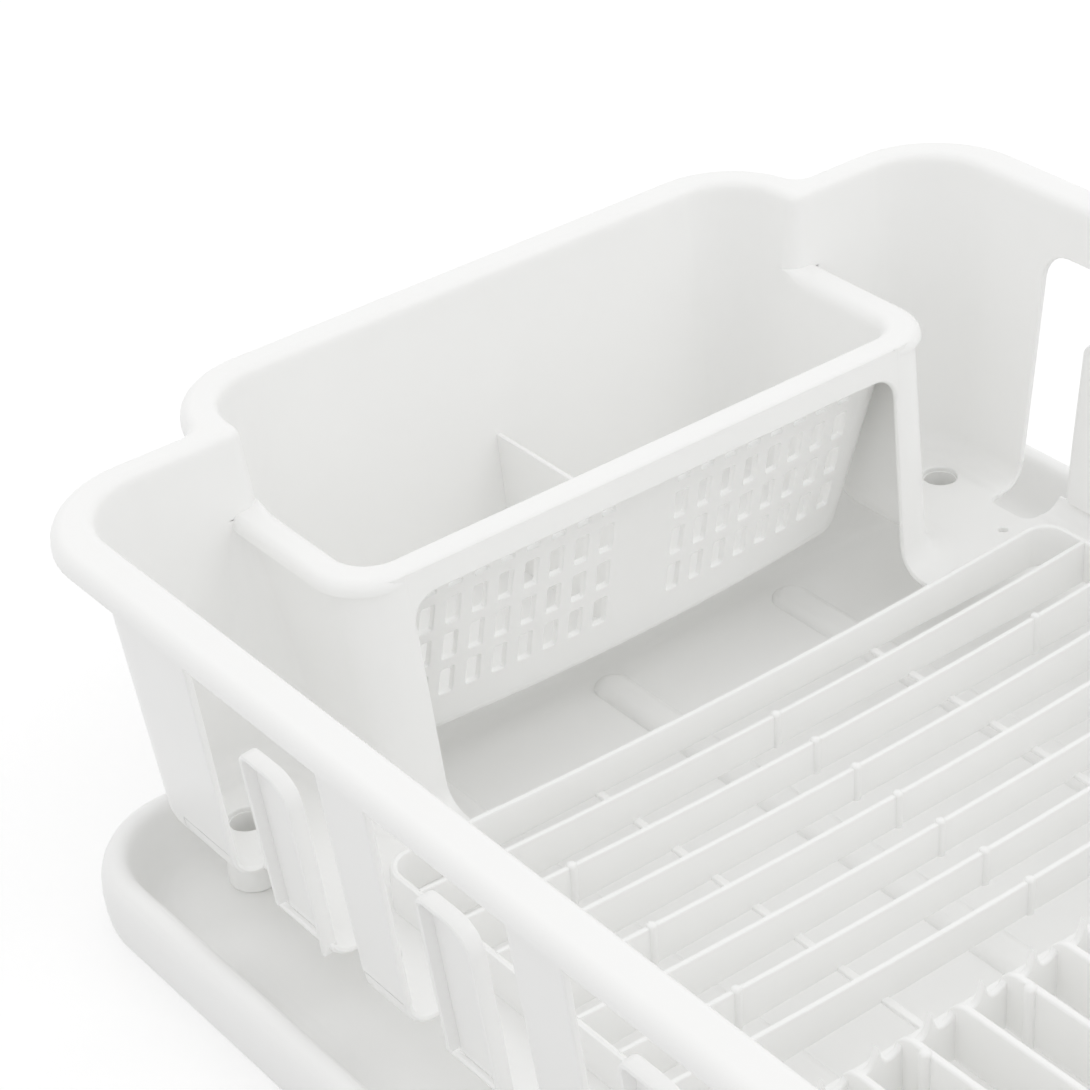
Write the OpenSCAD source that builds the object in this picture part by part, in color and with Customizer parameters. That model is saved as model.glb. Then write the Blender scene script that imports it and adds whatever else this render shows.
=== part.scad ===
// Dish drying rack: a drainer basket with a built-in utensil bin, standing in a drainboard.
// Frame: origin at the centre of the footprint on the table, +X away from the bin, +Z up.
// All sizes are in millimetres. "Near" is the -Y side and "far" the +Y side.

/* [Drainer] */
// Length of the drainer over its rim, without the utensil bay
rack_l = 454; // [440:1:460]
// Width of the drainer over its rim
rack_w = 375; // [365:1:385]
// Thickness of the moulded walls
wall = 2.4; // [2:0.1:3]
// How much the wall's corner radius shrinks from the rim to the base
corner_taper = 7.5; // [4:0.5:10]
// How far the long walls lean in from the rim to the base
lean_side = 11.5; // [8:0.5:14]
// How far the end walls lean in from the rim to the base
lean_end = 10; // [8:0.5:13]
// Outer corner radius of the rim
corner_r = 38; // [34:1:44]

/* [Rim] */
// Width of the rim along the long sides
rim_side_w = 14.5; // [12:0.5:16]
// Width of the rim at the two ends
rim_end_w = 10.5; // [9:0.5:12]
// Height of the down-turned skirt
rim_drop = 7; // [5:0.5:9]

/* [Side openings] */
// From the last opening to the inside of the next wall's foot
open_end = 47; // [42:1:55]
// Width of a strut
strut_w = 23; // [18:1:28]
// Solid wall left above the openings, measured from the rim's top
open_drop = 20; // [16:1:26]
// From the first slat back to the first opening's middle
open_back = 2; // [0:0.5:6]
// Corner radius at the top of an opening
open_r = 9; // [5:1:11]

/* [Prongs] */
// Width of a cup prong
prong_w = 24; // [18:1:26]
// Depth of a prong's channel
prong_d = 6; // [5:0.5:8]
// Drop from the rim's top to a prong's top
prong_drop = 44; // [40:1:60]
// Tilt of a prong off the vertical, in degrees
prong_tilt = 6; // [2:0.5:6]
// Corner radius at a prong's top
prong_r = 6; // [3:0.5:7]
// Gap between a prong's foot and the base lip
prong_gap = 0.5; // [0.3:0.1:1.5]

/* [Utensil bin] */
// How far the bay stands out past the rim's end
bay_out = 31; // [26:1:36]
// Width of the bay over its rim
bay_w = 244; // [230:1:250]
// Corner radius of the bay's rim
bay_r = 34; // [30:1:38]
// Width of the rim around the bay
bay_rim_w = 12; // [10:0.5:13]
// Drop from the rim's top to the bin's inner rim
bin_drop = 26.5; // [22:0.5:32]
// Depth of the bin below the rim's top
bin_depth = 106; // [98:1:108]
// Lean of the bin's back and sides from top to bottom
bin_lean = 11; // [8:1:12]
// How much the bin's corner radius shrinks towards its floor
bin_taper = 4; // [2:0.5:6]
// Lean of the bin's front from top to bottom
front_lean = 19; // [12:1:22]
// From the rim's end to the inside of the bin's front, at the bin's inner rim
bin_front_x = 65; // [62:1:67]
// Width of the bin's inner rim along its arms
bin_rim_w = 11; // [9:0.5:12]
// Width of the bin's inner rim across the front
front_rim_w = 8; // [6:0.5:10]
// Height of the divider above the bin's floor
divider_h = 49; // [30:1:60]
// Thickness of the divider
divider_t = 2; // [1.6:0.1:2.6]

/* [Bin windows] */
// Columns of windows in each panel
win_cols = 8; // [5:1:8]
// Rows of windows
win_rows = 4; // [2:1:4]
// Distance between columns
win_pitch_y = 9.9; // [9:0.1:10]
// Distance between rows
win_pitch_z = 15.2; // [13:0.2:16]
// Drop from the rim's top to the first row
win_drop = 35.5; // [34:0.5:38]
// Width of a window
win_w = 5; // [3:0.5:6]
// Height of a window
win_h = 10.5; // [8:0.5:12]
// Width of the plain band between the two panels
win_band = 25.5; // [20:0.5:30]

/* [Portal] */
// Clear width under the portal
portal_w = 189; // [180:1:194]
// Drop from the rim's top to the top of the portal's opening
portal_drop = 37; // [36:0.5:44]
// Corner radius of the portal's opening
portal_r = 10; // [6:1:14]
// How far the rim overhangs the portal's face
portal_in = 1; // [0.5:0.5:2]
// How far the rim overhangs the wings
wing_in = 5; // [4:0.5:5.5]
// How far the portal's face leans out towards its feet
portal_lean = 9; // [6:0.5:11]
// How far the wings lean in towards their feet
wing_lean = 6; // [5:0.5:7]
// Corner radius of the portal's legs
leg_r = 14; // [12:1:18]

/* [Floor] */
// From the rim's end to the first slat
sill_in = 106; // [104:1:112]
// Number of slats
slat_count = 8; // [5:1:8]
// Distance between slats
slat_pitch = 18.15; // [16:0.05:18.5]
// Thickness of a slat
slat_t = 1.8; // [1.4:0.1:2.4]
// Thickness of the first slat, the sill of the portal
sill_t = 3; // [2.4:0.1:4]
// Height of a slat at its ends
slat_h = 16; // [14:0.5:18]
// Drop of a slat's top edge at the middle
slat_sag = 4; // [0:0.5:5]
// From the rim's top to the slats' ends
floor_drop = 94.5; // [92:0.5:96]
// Width of the ledge between a long rail and the wall's foot
ledge_w = 26; // [23:1:29]
// Width of the ledge at the plain end
end_ledge_w = 26; // [23:1:29]
// Drop of the cross ribs below the slats' ends
rib_drop = 14; // [12:0.5:16]
// Which fin, counted from the middle one, the cross ribs line up with
rib_fin = 3; // [2:1:4]
// Thickness of the cross ribs
rib_t = 3; // [2:0.5:4]
// Radius of the small bosses on the slats
boss_r = 1.8; // [1.2:0.1:2.2]
// How far a boss or a bead stands above its slat or fin
boss_over = 1; // [0.5:0.5:1.5]
// Distance of the outer bosses from the middle
boss_y = 96; // [88:1:105]
// Height of the base lip below the ledge
base_drop = 3; // [2.4:0.2:5]
// Height of the base lip above the ledge
lip_h = 3; // [2:0.5:5]
// Radius of the drain holes in the ledges
drain_r = 3.5; // [2.5:0.5:4]
// Length of the slot beside the first prong
slot_l = 22; // [16:1:24]
// Gap between the slot and the prong
slot_gap = 3; // [2:0.5:5]

/* [Plate rack] */
// Number of plate fins
fin_count = 13; // [9:2:13]
// From the last fin to the rail beside it
fin_side = 18.5; // [12:0.5:24]
// Thickness of a fin
fin_t = 2.4; // [2:0.1:3]
// Height of a fin above the rails
fin_rise = 4.5; // [3:0.5:10]
// From the last slat to the fins' start
fin_gap = 27; // [24:1:32]
// Radius of a fin's top corners
fin_r = 8; // [4:1:10]
// Thickness of the comb walls
comb_t = 2.4; // [2:0.1:3]
// How far the fins start in front of their comb
comb_in = 1.5; // [1:0.5:4]
// Drop of the comb's valleys below the fins' tops
comb_valley = 6; // [4:0.5:8]
// Width of a comb tooth at its foot
tooth_w = 6; // [4:0.5:8]
// Width of a comb tooth at its tip
tooth_tip = 2; // [1:0.5:3]
// How far the teeth stand above the fins' tops
tooth_over = 1; // [0.5:0.5:2]
// Radius of the upright bead on every other fin
bead_r = 2; // [1.5:0.1:2.5]
// From a fin's start to its bead
bead_in = 12.6; // [10:0.2:16]

/* [Feet] */
// Height of the feet below the floor
foot_h = 21; // [18:0.5:28]
// Radius of a foot
foot_r = 8; // [7:0.5:9]
// From the inside of the end wall's foot to a foot's centre
foot_in_x = 26; // [22:1:28]
// From the inside of the long wall's foot to a foot's centre
foot_in_y = 15.5; // [13:0.5:18]

/* [Drainboard] */
// How far the drainboard stands out past the rim at the plain end
tray_out = 55; // [50:1:75]
// How far the drainboard stands out past the rim on each long side
tray_side = 5.5; // [3:0.5:20]
// Height of the drainboard's rim
tray_h = 21.5; // [18:0.5:24]
// Thickness of the drainboard's floor
tray_floor = 3; // [2.4:0.1:4]
// Width of the drainboard's rim
tray_rim_w = 9; // [8:0.5:11]
// How far the drainboard's walls lean in to its floor
tray_lean = 11; // [8:0.5:12]
// Outer corner radius of the drainboard
tray_r = 36; // [33:1:45]
// How far the utensil bay overhangs the drainboard
bay_over = 40; // [36:1:44]
// Width of the drain lip
lip_w = 300; // [260:2:310]
// Height of the drain lip's cheeks at its edge
cheek_h = 9; // [7:0.5:12]
// Distance between the raised ribs of the drainboard
rib_pitch = 79; // [70:1:84]
// Number of raised ribs
rib_count = 3; // [1:2:3]
// Width of a raised rib
rib_w = 14; // [10:1:18]
// Height of a raised rib
rib_h = 3; // [1.5:0.5:4]
// From the drainboard's end to the start of its ribs
rib_in = 27; // [24:1:40]

/* [Hidden] */
$fn = 64;
hull_fn = 48;
slab = 0.01;
lap = 1;
big = 400;
arc_steps = 16;

// Heights above the table
z_low = tray_floor + foot_h;
z_slat = z_low + slat_h;
z_top = z_slat + floor_drop;
z_plate = z_top - wall;
z_open = z_top - open_drop;
z_bin_rim = z_top - bin_drop;
z_bin = z_top - bin_depth;
z_ledge = z_low + wall;
z_lip = z_ledge + lip_h;
z_base = z_ledge - base_drop;
z_prong = z_top - prong_drop;
z_fin = z_slat + fin_rise;
z_rib = z_slat - rib_drop;
z_portal = z_top - portal_drop;

// Lengths along X
bay_x = -(bay_out + rack_l + tray_out) / 2;
rim_x0 = bay_x + bay_out;
rim_x1 = rim_x0 + rack_l;
tray_x0 = bay_x + bay_over;
tray_x1 = rim_x1 + tray_out;
in_x0 = rim_x0 + rim_end_w;
in_x1 = rim_x1 - rim_end_w;
sill_x = rim_x0 + sill_in;
sill_x0 = sill_x - sill_t / 2;
last_slat_x = sill_x + (slat_count - 1) * slat_pitch;
fin_x0 = last_slat_x + fin_gap;
base_x0 = in_x0 + lean_end;
base_x1 = in_x1 - lean_end;
rear_x = base_x1 - end_ledge_w - comb_t;
comb_x = fin_x0 + comb_in;
bin_x0 = bay_x + bay_rim_w;
front_x = rim_x0 + bin_front_x;
bin_x1 = front_x + front_lean * (z_plate - z_bin_rim) / (z_plate - z_bin);
bin_rim_x = front_x + front_rim_w;
portal_x = bin_rim_x - portal_in;

// Half widths along Y
half_w = rack_w / 2;
tray_y = half_w + tray_side;
in_y = half_w - rim_side_w;
base_y = in_y - lean_side;
rail_y = base_y - ledge_w;
fin_pitch = 2 * (rail_y - fin_side) / (fin_count - 1);
rib_y = rib_fin * fin_pitch;
bin_y = bay_w / 2 - bay_rim_w;
bin_rim_y = bin_y + bin_rim_w;
wing_y = bin_rim_y - wing_in;

// Corner radii of the leaning walls
in_r = corner_r - (rim_side_w + rim_end_w) / 2;
base_r = in_r - corner_taper;
bin_r = bay_r - bay_rim_w;
bin_low_r = bin_r - bin_taper;
tray_in_r = tray_r - tray_rim_w;
tray_low_r = tray_in_r - tray_lean;

// The openings in the walls and what stands between them
side_count = 4;
end_count = 3;
first_x = sill_x - open_back;
open_x1 = base_x1 - open_end;
open_y1 = base_y - open_end;
side_pitch = (open_x1 + strut_w / 2 - first_x) / (side_count - 0.5);
end_pitch = 2 * (open_y1 + strut_w / 2) / end_count;
side_xs = [for (i = [0 : side_count - 1]) first_x + i * side_pitch];
side_strut_xs = [for (i = [0 : side_count - 2]) first_x + (i + 0.5) * side_pitch];
end_ys = [for (i = [0 : end_count - 1]) (i - (end_count - 1) / 2) * end_pitch];
end_strut_ys = [for (i = [0 : end_count - 2]) (i - (end_count - 2) / 2) * end_pitch];
open_x0 = first_x - (side_pitch - strut_w) / 2;

// Places of the feet, the fins and the drain holes
foot_x0 = base_x0 + foot_in_x;
foot_x1 = base_x1 - foot_in_x;
foot_y = base_y - foot_in_y;
fin_ys = [for (i = [0 : fin_count - 1]) (i - (fin_count - 1) / 2) * fin_pitch];
drain_y = rail_y + ledge_w / 2;
drain_xs = [for (x = side_xs) x + prong_w / 2 + 2 * drain_r];
slot_x = side_xs[0] - prong_w / 2 - slot_l / 2 - slot_gap;

// ---- shared shapes ----

// Rectangle with round corners, given by its two ends, its half width and its radius
module rrect(x0, x1, y, r) {
    translate([x0 + r, -y]) square([x1 - x0 - 2 * r, 2 * y]);
    translate([x0, r - y]) square([x1 - x0, 2 * (y - r)]);
    for (x = [x0 + r, x1 - r], s = [-1, 1]) translate([x, s * (y - r)]) circle(r);
}

// Box between two corners
module span(a, b) {
    translate(a) cube(b - a);
}

// Solid whose walls lean from one rounded outline to another
module tub(z0, low, z1, high) {
    hull() {
        translate([0, 0, z0]) linear_extrude(slab) rrect(low[0], low[1], low[2], low[3], $fn = hull_fn);
        translate([0, 0, z1 - slab]) linear_extrude(slab)
            rrect(high[0], high[1], high[2], high[3], $fn = hull_fn);
    }
}

// Puts its children on the near side (-1) or leaves them on the far side (1)
module side(s) {
    if (s < 0) mirror([0, 1, 0]) children();
    else children();
}

// Inside of the basket; g grows it outwards
module basket(g) {
    tub(z_base, [base_x0 - g, base_x1 + g, base_y + g, base_r + g],
        z_plate, [in_x0 - g, in_x1 + g, in_y + g, in_r + g]);
}

module wall_shell() {
    difference() {
        basket(wall);
        basket(0);
    }
}

// Inside of the utensil bin; g grows it outwards
module bin_body(g) {
    tub(z_bin, [bin_x0 + bin_lean - g, bin_x1 - front_lean + g, bin_y - bin_lean + g, bin_low_r + g],
        z_plate, [bin_x0 - g, bin_x1 + g, bin_y + g, bin_r + g]);
}

module bin_shell() {
    difference() {
        bin_body(wall);
        bin_body(0);
    }
}

// Housing around the bin inside the basket; g shrinks it inwards
module housing(g) {
    tub(z_low, [rim_x0, portal_x + portal_lean - g, wing_y - wing_lean - g, leg_r - g],
        z_bin_rim - wall, [rim_x0, portal_x - g, wing_y - g, leg_r - g]);
}

module housing_shell() {
    intersection() {
        difference() {
            housing(0);
            housing(wall);
        }
        basket(0);
    }
}

// Wedge that rounds the top corner of an opening, growing towards +X
module corner_wedge() {
    rotate([90, 0, 0]) translate([0, 0, -big]) linear_extrude(big) difference() {
        square(open_r);
        translate([open_r, 0]) circle(open_r);
    }
}

// ---- rim ----

module rim_outline(g) {
    rrect(rim_x0 + g, rim_x1 - g, half_w - g, corner_r - g);
    rrect(bay_x + g, rim_x0 + 2 * bay_r - g, bay_w / 2 - g, bay_r - g);
}

// Top plate and outer skirt of the rim
module rim_full() {
    translate([0, 0, z_plate]) linear_extrude(wall) difference() {
        rim_outline(0);
        rrect(in_x0, in_x1, in_y, in_r);
        rrect(bin_x0, rim_x0 + 2 * bay_r, bin_y, bin_r);
    }
    translate([0, 0, z_top - rim_drop]) linear_extrude(rim_drop - wall) difference() {
        rim_outline(0);
        rim_outline(wall);
    }
}

// Straight rim along a long side, with the wall band above the openings
module rim_side(s) {
    color("white") {
        intersection() {
            rim_full();
            side(s) span([open_x0, 0, 0], [open_x1, big, big]);
        }
        intersection() {
            wall_shell();
            side(s) span([open_x0, 0, z_open], [open_x1, big, z_plate]);
        }
    }
}

module rim_near() {
    rim_side(-1);
}

module rim_far() {
    rim_side(1);
}

// Rim round the bin end and the utensil bay
module rim_bin_end() {
    color("white") intersection() {
        rim_full();
        span([-big, -big, 0], [open_x0, big, big]);
    }
}

module rim_plain_end() {
    color("white") {
        intersection() {
            rim_full();
            span([open_x1, -big, 0], [big, big, big]);
        }
        intersection() {
            wall_shell();
            span([in_x1 - lean_end, -open_y1, z_open], [big, open_y1, z_plate]);
        }
    }
}

// ---- walls ----

// Corner wall beside the bin, from the first opening round to the bay
module wall_bin(s) {
    color("whitesmoke") difference() {
        intersection() {
            wall_shell();
            side(s) union() {
                span([-big, 0, 0], [open_x0, big, big]);
                translate([open_x0, 0, z_open - open_r]) corner_wedge();
            }
        }
        side(s) span([-big, -big, 0], [base_x0 + base_r, wing_y - wing_lean - wall, z_bin_rim]);
        housing(wall);
        bin_body(wall);
        side(s) span([-big, -big, z_bin_rim - wall], [base_x0 + base_r, bin_y - bin_r, big]);
    }
}

module wall_bin_near() {
    wall_bin(-1);
}

module wall_bin_far() {
    wall_bin(1);
}

// Corner wall at the plain end
module wall_plain(s) {
    color("whitesmoke") intersection() {
        wall_shell();
        side(s) union() {
            span([open_x1, open_y1, 0], [big, big, big]);
            translate([open_x1, 0, z_open - open_r]) mirror([1, 0, 0]) corner_wedge();
            translate([0, open_y1, z_open - open_r]) rotate([0, 0, -90]) corner_wedge();
        }
    }
}

module wall_plain_near() {
    wall_plain(-1);
}

module wall_plain_far() {
    wall_plain(1);
}

// ---- struts and prongs ----

// Block that cuts a strut out of a wall on the +Y side
module strut_block() {
    span([-strut_w / 2, 0, z_lip], [strut_w / 2, big, z_open]);
    for (m = [0, 1]) mirror([m, 0, 0]) translate([strut_w / 2, 0, z_open - open_r]) corner_wedge();
}

module strut_side(i, s) {
    color("whitesmoke") intersection() {
        wall_shell();
        side(s) translate([side_strut_xs[i - 1], 0, 0]) strut_block();
    }
}

module strut_near_1() {
    strut_side(1, -1);
}

module strut_near_2() {
    strut_side(2, -1);
}

module strut_near_3() {
    strut_side(3, -1);
}

module strut_far_1() {
    strut_side(1, 1);
}

module strut_far_2() {
    strut_side(2, 1);
}

module strut_far_3() {
    strut_side(3, 1);
}

module strut_end(i) {
    color("whitesmoke") intersection() {
        wall_shell();
        translate([0, end_strut_ys[i - 1], 0]) rotate([0, 0, -90]) strut_block();
    }
}

module strut_end_1() {
    strut_end(1);
}

module strut_end_2() {
    strut_end(2);
}

// Front view of a prong, with round top corners
module prong_face(h) {
    translate([-prong_w / 2, -prong_d]) square([prong_w, h + prong_d - prong_r]);
    translate([prong_r - prong_w / 2, -prong_d]) square([prong_w - 2 * prong_r, h + prong_d]);
    for (m = [-1, 1]) translate([m * (prong_w / 2 - prong_r), h - prong_r]) circle(prong_r);
}

// Cup prong: an upright channel that opens outwards, tilted and cut level at its foot
module prong() {
    h = z_prong - z_ledge;
    intersection() {
        translate([0, 0, z_ledge]) rotate([-prong_tilt, 0, 0]) difference() {
            rotate([90, 0, 0]) linear_extrude(prong_d) prong_face(h);
            span([wall - prong_w / 2, wall - prong_d, -2 * prong_d], [prong_w / 2 - wall, lap, h - wall]);
        }
        span([-prong_w, -big, z_ledge], [prong_w, big, z_top]);
    }
}

module prong_side(i, s) {
    color("white") side(s) translate([side_xs[i - 1], base_y - prong_gap, 0]) prong();
}

module prong_near_1() {
    prong_side(1, -1);
}

module prong_near_2() {
    prong_side(2, -1);
}

module prong_near_3() {
    prong_side(3, -1);
}

module prong_near_4() {
    prong_side(4, -1);
}

module prong_far_1() {
    prong_side(1, 1);
}

module prong_far_2() {
    prong_side(2, 1);
}

module prong_far_3() {
    prong_side(3, 1);
}

module prong_far_4() {
    prong_side(4, 1);
}

module prong_end(i) {
    color("white") translate([base_x1 - prong_gap, end_ys[i - 1], 0]) rotate([0, 0, -90]) prong();
}

module prong_end_1() {
    prong_end(1);
}

module prong_end_2() {
    prong_end(2);
}

module prong_end_3() {
    prong_end(3);
}

// ---- floor ----

// Holes through the ledges and pockets: feet, drains and slots
module floor_holes() {
    for (s = [-1, 1]) side(s) translate([0, 0, z_low - lap]) {
        for (x = [foot_x0, foot_x1]) translate([x, foot_y, 0]) cylinder(r = foot_r - wall, h = 2 * wall);
        for (x = drain_xs) translate([x, drain_y, 0]) cylinder(r = drain_r, h = 2 * wall);
        translate([slot_x - slot_l / 2, drain_y - drain_r, 0]) cube([slot_l, 2 * drain_r, 2 * wall]);
    }
}

// Ledge along a long wall, with the lip below its openings
module ledge_side(s) {
    color("whitesmoke") {
        difference() {
            intersection() {
                basket(0);
                side(s) span([sill_x0, rail_y + wall, z_low], [big, big, z_ledge]);
            }
            floor_holes();
        }
        intersection() {
            wall_shell();
            side(s) span([open_x0, 0, 0], [open_x1, big, z_lip]);
        }
    }
}

module ledge_near() {
    ledge_side(-1);
}

module ledge_far() {
    ledge_side(1);
}

module ledge_plain() {
    ledge_x = rear_x + comb_t;
    edge_y = rail_y + wall;
    color("whitesmoke") {
        intersection() {
            basket(0);
            span([ledge_x, -edge_y, z_low], [big, edge_y, z_ledge]);
        }
        intersection() {
            wall_shell();
            span([ledge_x, -open_y1, 0], [big, open_y1, z_lip]);
        }
    }
}

// Rail that carries the ends of the slats
module rail(s) {
    color("white") side(s) span([sill_x0, rail_y, z_low], [rear_x, rail_y + wall, z_slat]);
}

module rail_near() {
    rail(-1);
}

module rail_far() {
    rail(1);
}

// Pocket floor beside the bin
module pocket(s) {
    color("whitesmoke") difference() {
        intersection() {
            basket(0);
            side(s) span([-big, portal_w / 2, z_low], [sill_x0, big, z_ledge]);
        }
        housing(0);
        floor_holes();
    }
}

module pocket_near() {
    pocket(-1);
}

module pocket_far() {
    pocket(1);
}

// Foot: an open cup under the floor
module foot(x, s) {
    color("gainsboro") side(s) translate([x, foot_y, tray_floor]) difference() {
        cylinder(r = foot_r, h = z_low - tray_floor);
        translate([0, 0, wall]) cylinder(r = foot_r - wall, h = z_low);
    }
}

module foot_bin_near() {
    foot(foot_x0, -1);
}

module foot_bin_far() {
    foot(foot_x0, 1);
}

module foot_plain_near() {
    foot(foot_x1, -1);
}

module foot_plain_far() {
    foot(foot_x1, 1);
}

// Front view of a slat, with its top edge sagging towards the middle
module slat_face() {
    top = [for (i = [0 : arc_steps]) rail_y * (1 - 2 * i / arc_steps)];
    edge = [for (y = top) [y, z_slat - slat_sag * (1 - pow(y / rail_y, 2))]];
    polygon(concat([[-rail_y, z_low], [rail_y, z_low]], edge));
}

module slat(x, t) {
    translate([x - t / 2, 0, 0]) rotate([90, 0, 90]) linear_extrude(t) slat_face();
}

module floor_slats() {
    color("white") {
        slat(sill_x, sill_t);
        for (i = [1 : slat_count - 1]) {
            x = sill_x + i * slat_pitch;
            slat(x, slat_t);
            translate([x, 0, z_low]) cylinder(r = boss_r, h = slat_h - slat_sag + boss_over);
            if (i % 2 == 0) for (s = [-1, 1]) translate([x, s * boss_y, z_low])
                cylinder(r = boss_r, h = slat_h - slat_sag / 2);
        }
    }
}

// Cross ribs, one length between each pair of slats and on to the fin behind
module cross_ribs() {
    color("white") for (i = [0 : slat_count - 1], y = [-rib_y, rib_y]) {
        a = sill_x + i * slat_pitch + (i == 0 ? sill_t : slat_t) / 2;
        b = i < slat_count - 1 ? sill_x + (i + 1) * slat_pitch - slat_t / 2 : fin_x0;
        span([a, y - rib_t / 2, z_low], [b, y + rib_t / 2, z_rib]);
    }
}

// ---- plate rack ----

// Side view of a fin, with round top corners
module fin_face() {
    w = rear_x - fin_x0;
    h = z_fin - z_low;
    translate([fin_x0, z_low]) square([w, h - fin_r]);
    translate([fin_x0 + fin_r, z_low]) square([w - 2 * fin_r, h]);
    for (x = [fin_x0 + fin_r, rear_x - fin_r]) translate([x, z_fin - fin_r]) circle(fin_r);
}

module plate_fins() {
    color("white") for (i = [0 : fin_count - 1]) {
        translate([0, fin_ys[i] + fin_t / 2, 0]) rotate([90, 0, 0]) linear_extrude(fin_t) fin_face();
        if (i % 2 == 0) translate([fin_x0 + bead_in, fin_ys[i] - fin_t / 2, z_low])
            cylinder(r = bead_r, h = z_fin - z_low + boss_over);
    }
}

// Front view of a comb wall of half width w, with a tooth in the middle of each gap
module comb_face(w) {
    h = z_fin - comb_valley - z_low;
    translate([-w, 0]) square([2 * w, h]);
    tip = lap + comb_valley + tooth_over;
    for (i = [0 : fin_count - 2]) translate([fin_ys[i] + fin_pitch / 2, h - lap])
        polygon([[-tooth_w / 2, 0], [tooth_w / 2, 0], [tooth_tip / 2, tip], [-tooth_tip / 2, tip]]);
}

module comb_wall(x, w) {
    translate([x, 0, z_low]) rotate([90, 0, 90]) linear_extrude(comb_t) comb_face(w);
}

// Front comb, let in between the fins
module comb_front() {
    color("whitesmoke") difference() {
        comb_wall(comb_x, rail_y);
        for (y = fin_ys) span([fin_x0, y - fin_t / 2, 0], [rear_x, y + fin_t / 2, z_top]);
    }
}

// Rear comb, which is also the rail at the plain end
module comb_rear() {
    color("whitesmoke") comb_wall(rear_x, rail_y + wall);
}

// ---- utensil bin ----

// Back of the bin, below the bay's rim
module bin_back() {
    color("white") intersection() {
        bin_shell();
        span([-big, -big, z_bin], [in_x0, big, big]);
    }
}

// Side of the bin, stepping down inside the basket
module bin_side(s) {
    color("white") difference() {
        intersection() {
            bin_shell();
            side(s) span([in_x0, 0, z_bin], [bin_x1 - bin_r, big, big]);
        }
        intersection() {
            basket(0);
            span([-big, -big, z_bin_rim - wall], [big, big, big]);
        }
    }
}

module bin_side_near() {
    bin_side(-1);
}

module bin_side_far() {
    bin_side(1);
}

module bin_floor() {
    color("white") translate([0, 0, z_bin - wall]) linear_extrude(wall)
        rrect(bin_x0 + bin_lean - wall, bin_x1 - front_lean + wall, bin_y - bin_lean + wall, bin_low_r + wall);
}

// Windows of the bin's front, in two panels
module windows() {
    for (s = [-1, 1], i = [0 : win_cols - 1], k = [0 : win_rows - 1])
        translate([bin_x1 - bin_r, s * (win_band / 2 + i * win_pitch_y + win_w / 2) - win_w / 2,
            z_top - win_drop - k * win_pitch_z - win_h])
            cube([bin_r + 2 * wall, win_w, win_h]);
}

module bin_front() {
    color("white") difference() {
        intersection() {
            bin_shell();
            span([bin_x1 - bin_r, -big, z_bin], [big, big, z_bin_rim - wall]);
        }
        windows();
    }
}

module bin_divider() {
    color("white") intersection() {
        bin_body(0);
        span([-big, -divider_t / 2, z_bin], [big, divider_t / 2, z_bin + divider_h]);
    }
}

// Inner rim that joins the bin to its housing
module bin_rim() {
    color("white") difference() {
        intersection() {
            basket(0);
            translate([0, 0, z_bin_rim - wall]) linear_extrude(wall)
                rrect(rim_x0, bin_rim_x, bin_rim_y, leg_r + portal_in);
        }
        bin_body(0);
    }
}

// Portal in front of the bin, open down to the drainboard
module portal() {
    w = portal_w / 2;
    color("white") difference() {
        intersection() {
            housing_shell();
            span([portal_x - leg_r, -big, 0], [big, big, big]);
        }
        rotate([90, 0, 90]) linear_extrude(big, center = true) {
            translate([-w, 0]) square([2 * w, z_portal - portal_r]);
            translate([portal_r - w, 0]) square([2 * (w - portal_r), z_portal]);
            for (m = [-1, 1]) translate([m * (w - portal_r), z_portal - portal_r]) circle(portal_r);
        }
    }
}

// Wing from the portal back to the end wall
module wing(s) {
    color("white") intersection() {
        housing_shell();
        side(s) span([-big, 0, 0], [portal_x - leg_r, big, big]);
    }
}

module wing_near() {
    wing(-1);
}

module wing_far() {
    wing(1);
}

// ---- drainboard ----

// Room inside the drainboard's leaning walls; g grows it outwards
module tray_room(z0, g) {
    tub(z0, [tray_x0 + tray_rim_w + tray_lean - g, tray_x1 - tray_rim_w - tray_lean + g,
            tray_y - tray_rim_w - tray_lean + g, tray_low_r + g],
        tray_h, [tray_x0 + tray_rim_w - g, tray_x1 - tray_rim_w + g,
            tray_y - tray_rim_w + g, tray_in_r + g]);
}

// Way out through the plain end of the drainboard
module lip_gap() {
    span([tray_x1 - tray_rim_w - tray_lean, -lip_w / 2, -lap], [big, lip_w / 2, big]);
}

module tray_pan() {
    color("gainsboro") difference() {
        tray_room(0, wall);
        tray_room(tray_floor, 0);
        span([-big, -big, tray_h - wall], [big, big, big]);
        lip_gap();
    }
}

module tray_rim() {
    color("gainsboro") difference() {
        union() {
            translate([0, 0, tray_h - wall]) linear_extrude(wall) difference() {
                rrect(tray_x0, tray_x1, tray_y, tray_r);
                rrect(tray_x0 + tray_rim_w, tray_x1 - tray_rim_w, tray_y - tray_rim_w, tray_in_r);
            }
            linear_extrude(tray_h - wall) difference() {
                rrect(tray_x0, tray_x1, tray_y, tray_r);
                rrect(tray_x0 + wall, tray_x1 - wall, tray_y - wall, tray_r - wall);
            }
        }
        lip_gap();
    }
}

// Raised ribs on the drainboard's floor, with round ends
module tray_ribs() {
    r = rib_w / 2;
    near_x = tray_x0 + rib_in + r;
    far_x = tray_x1 - tray_rim_w - tray_lean - rib_in - r;
    color("gainsboro") for (i = [0 : rib_count - 1])
        translate([0, (i - (rib_count - 1) / 2) * rib_pitch, tray_floor]) linear_extrude(rib_h) {
            translate([near_x, -r]) square([far_x - near_x, rib_w]);
            for (x = [near_x, far_x]) translate([x, 0]) circle(r);
        }
}

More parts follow.
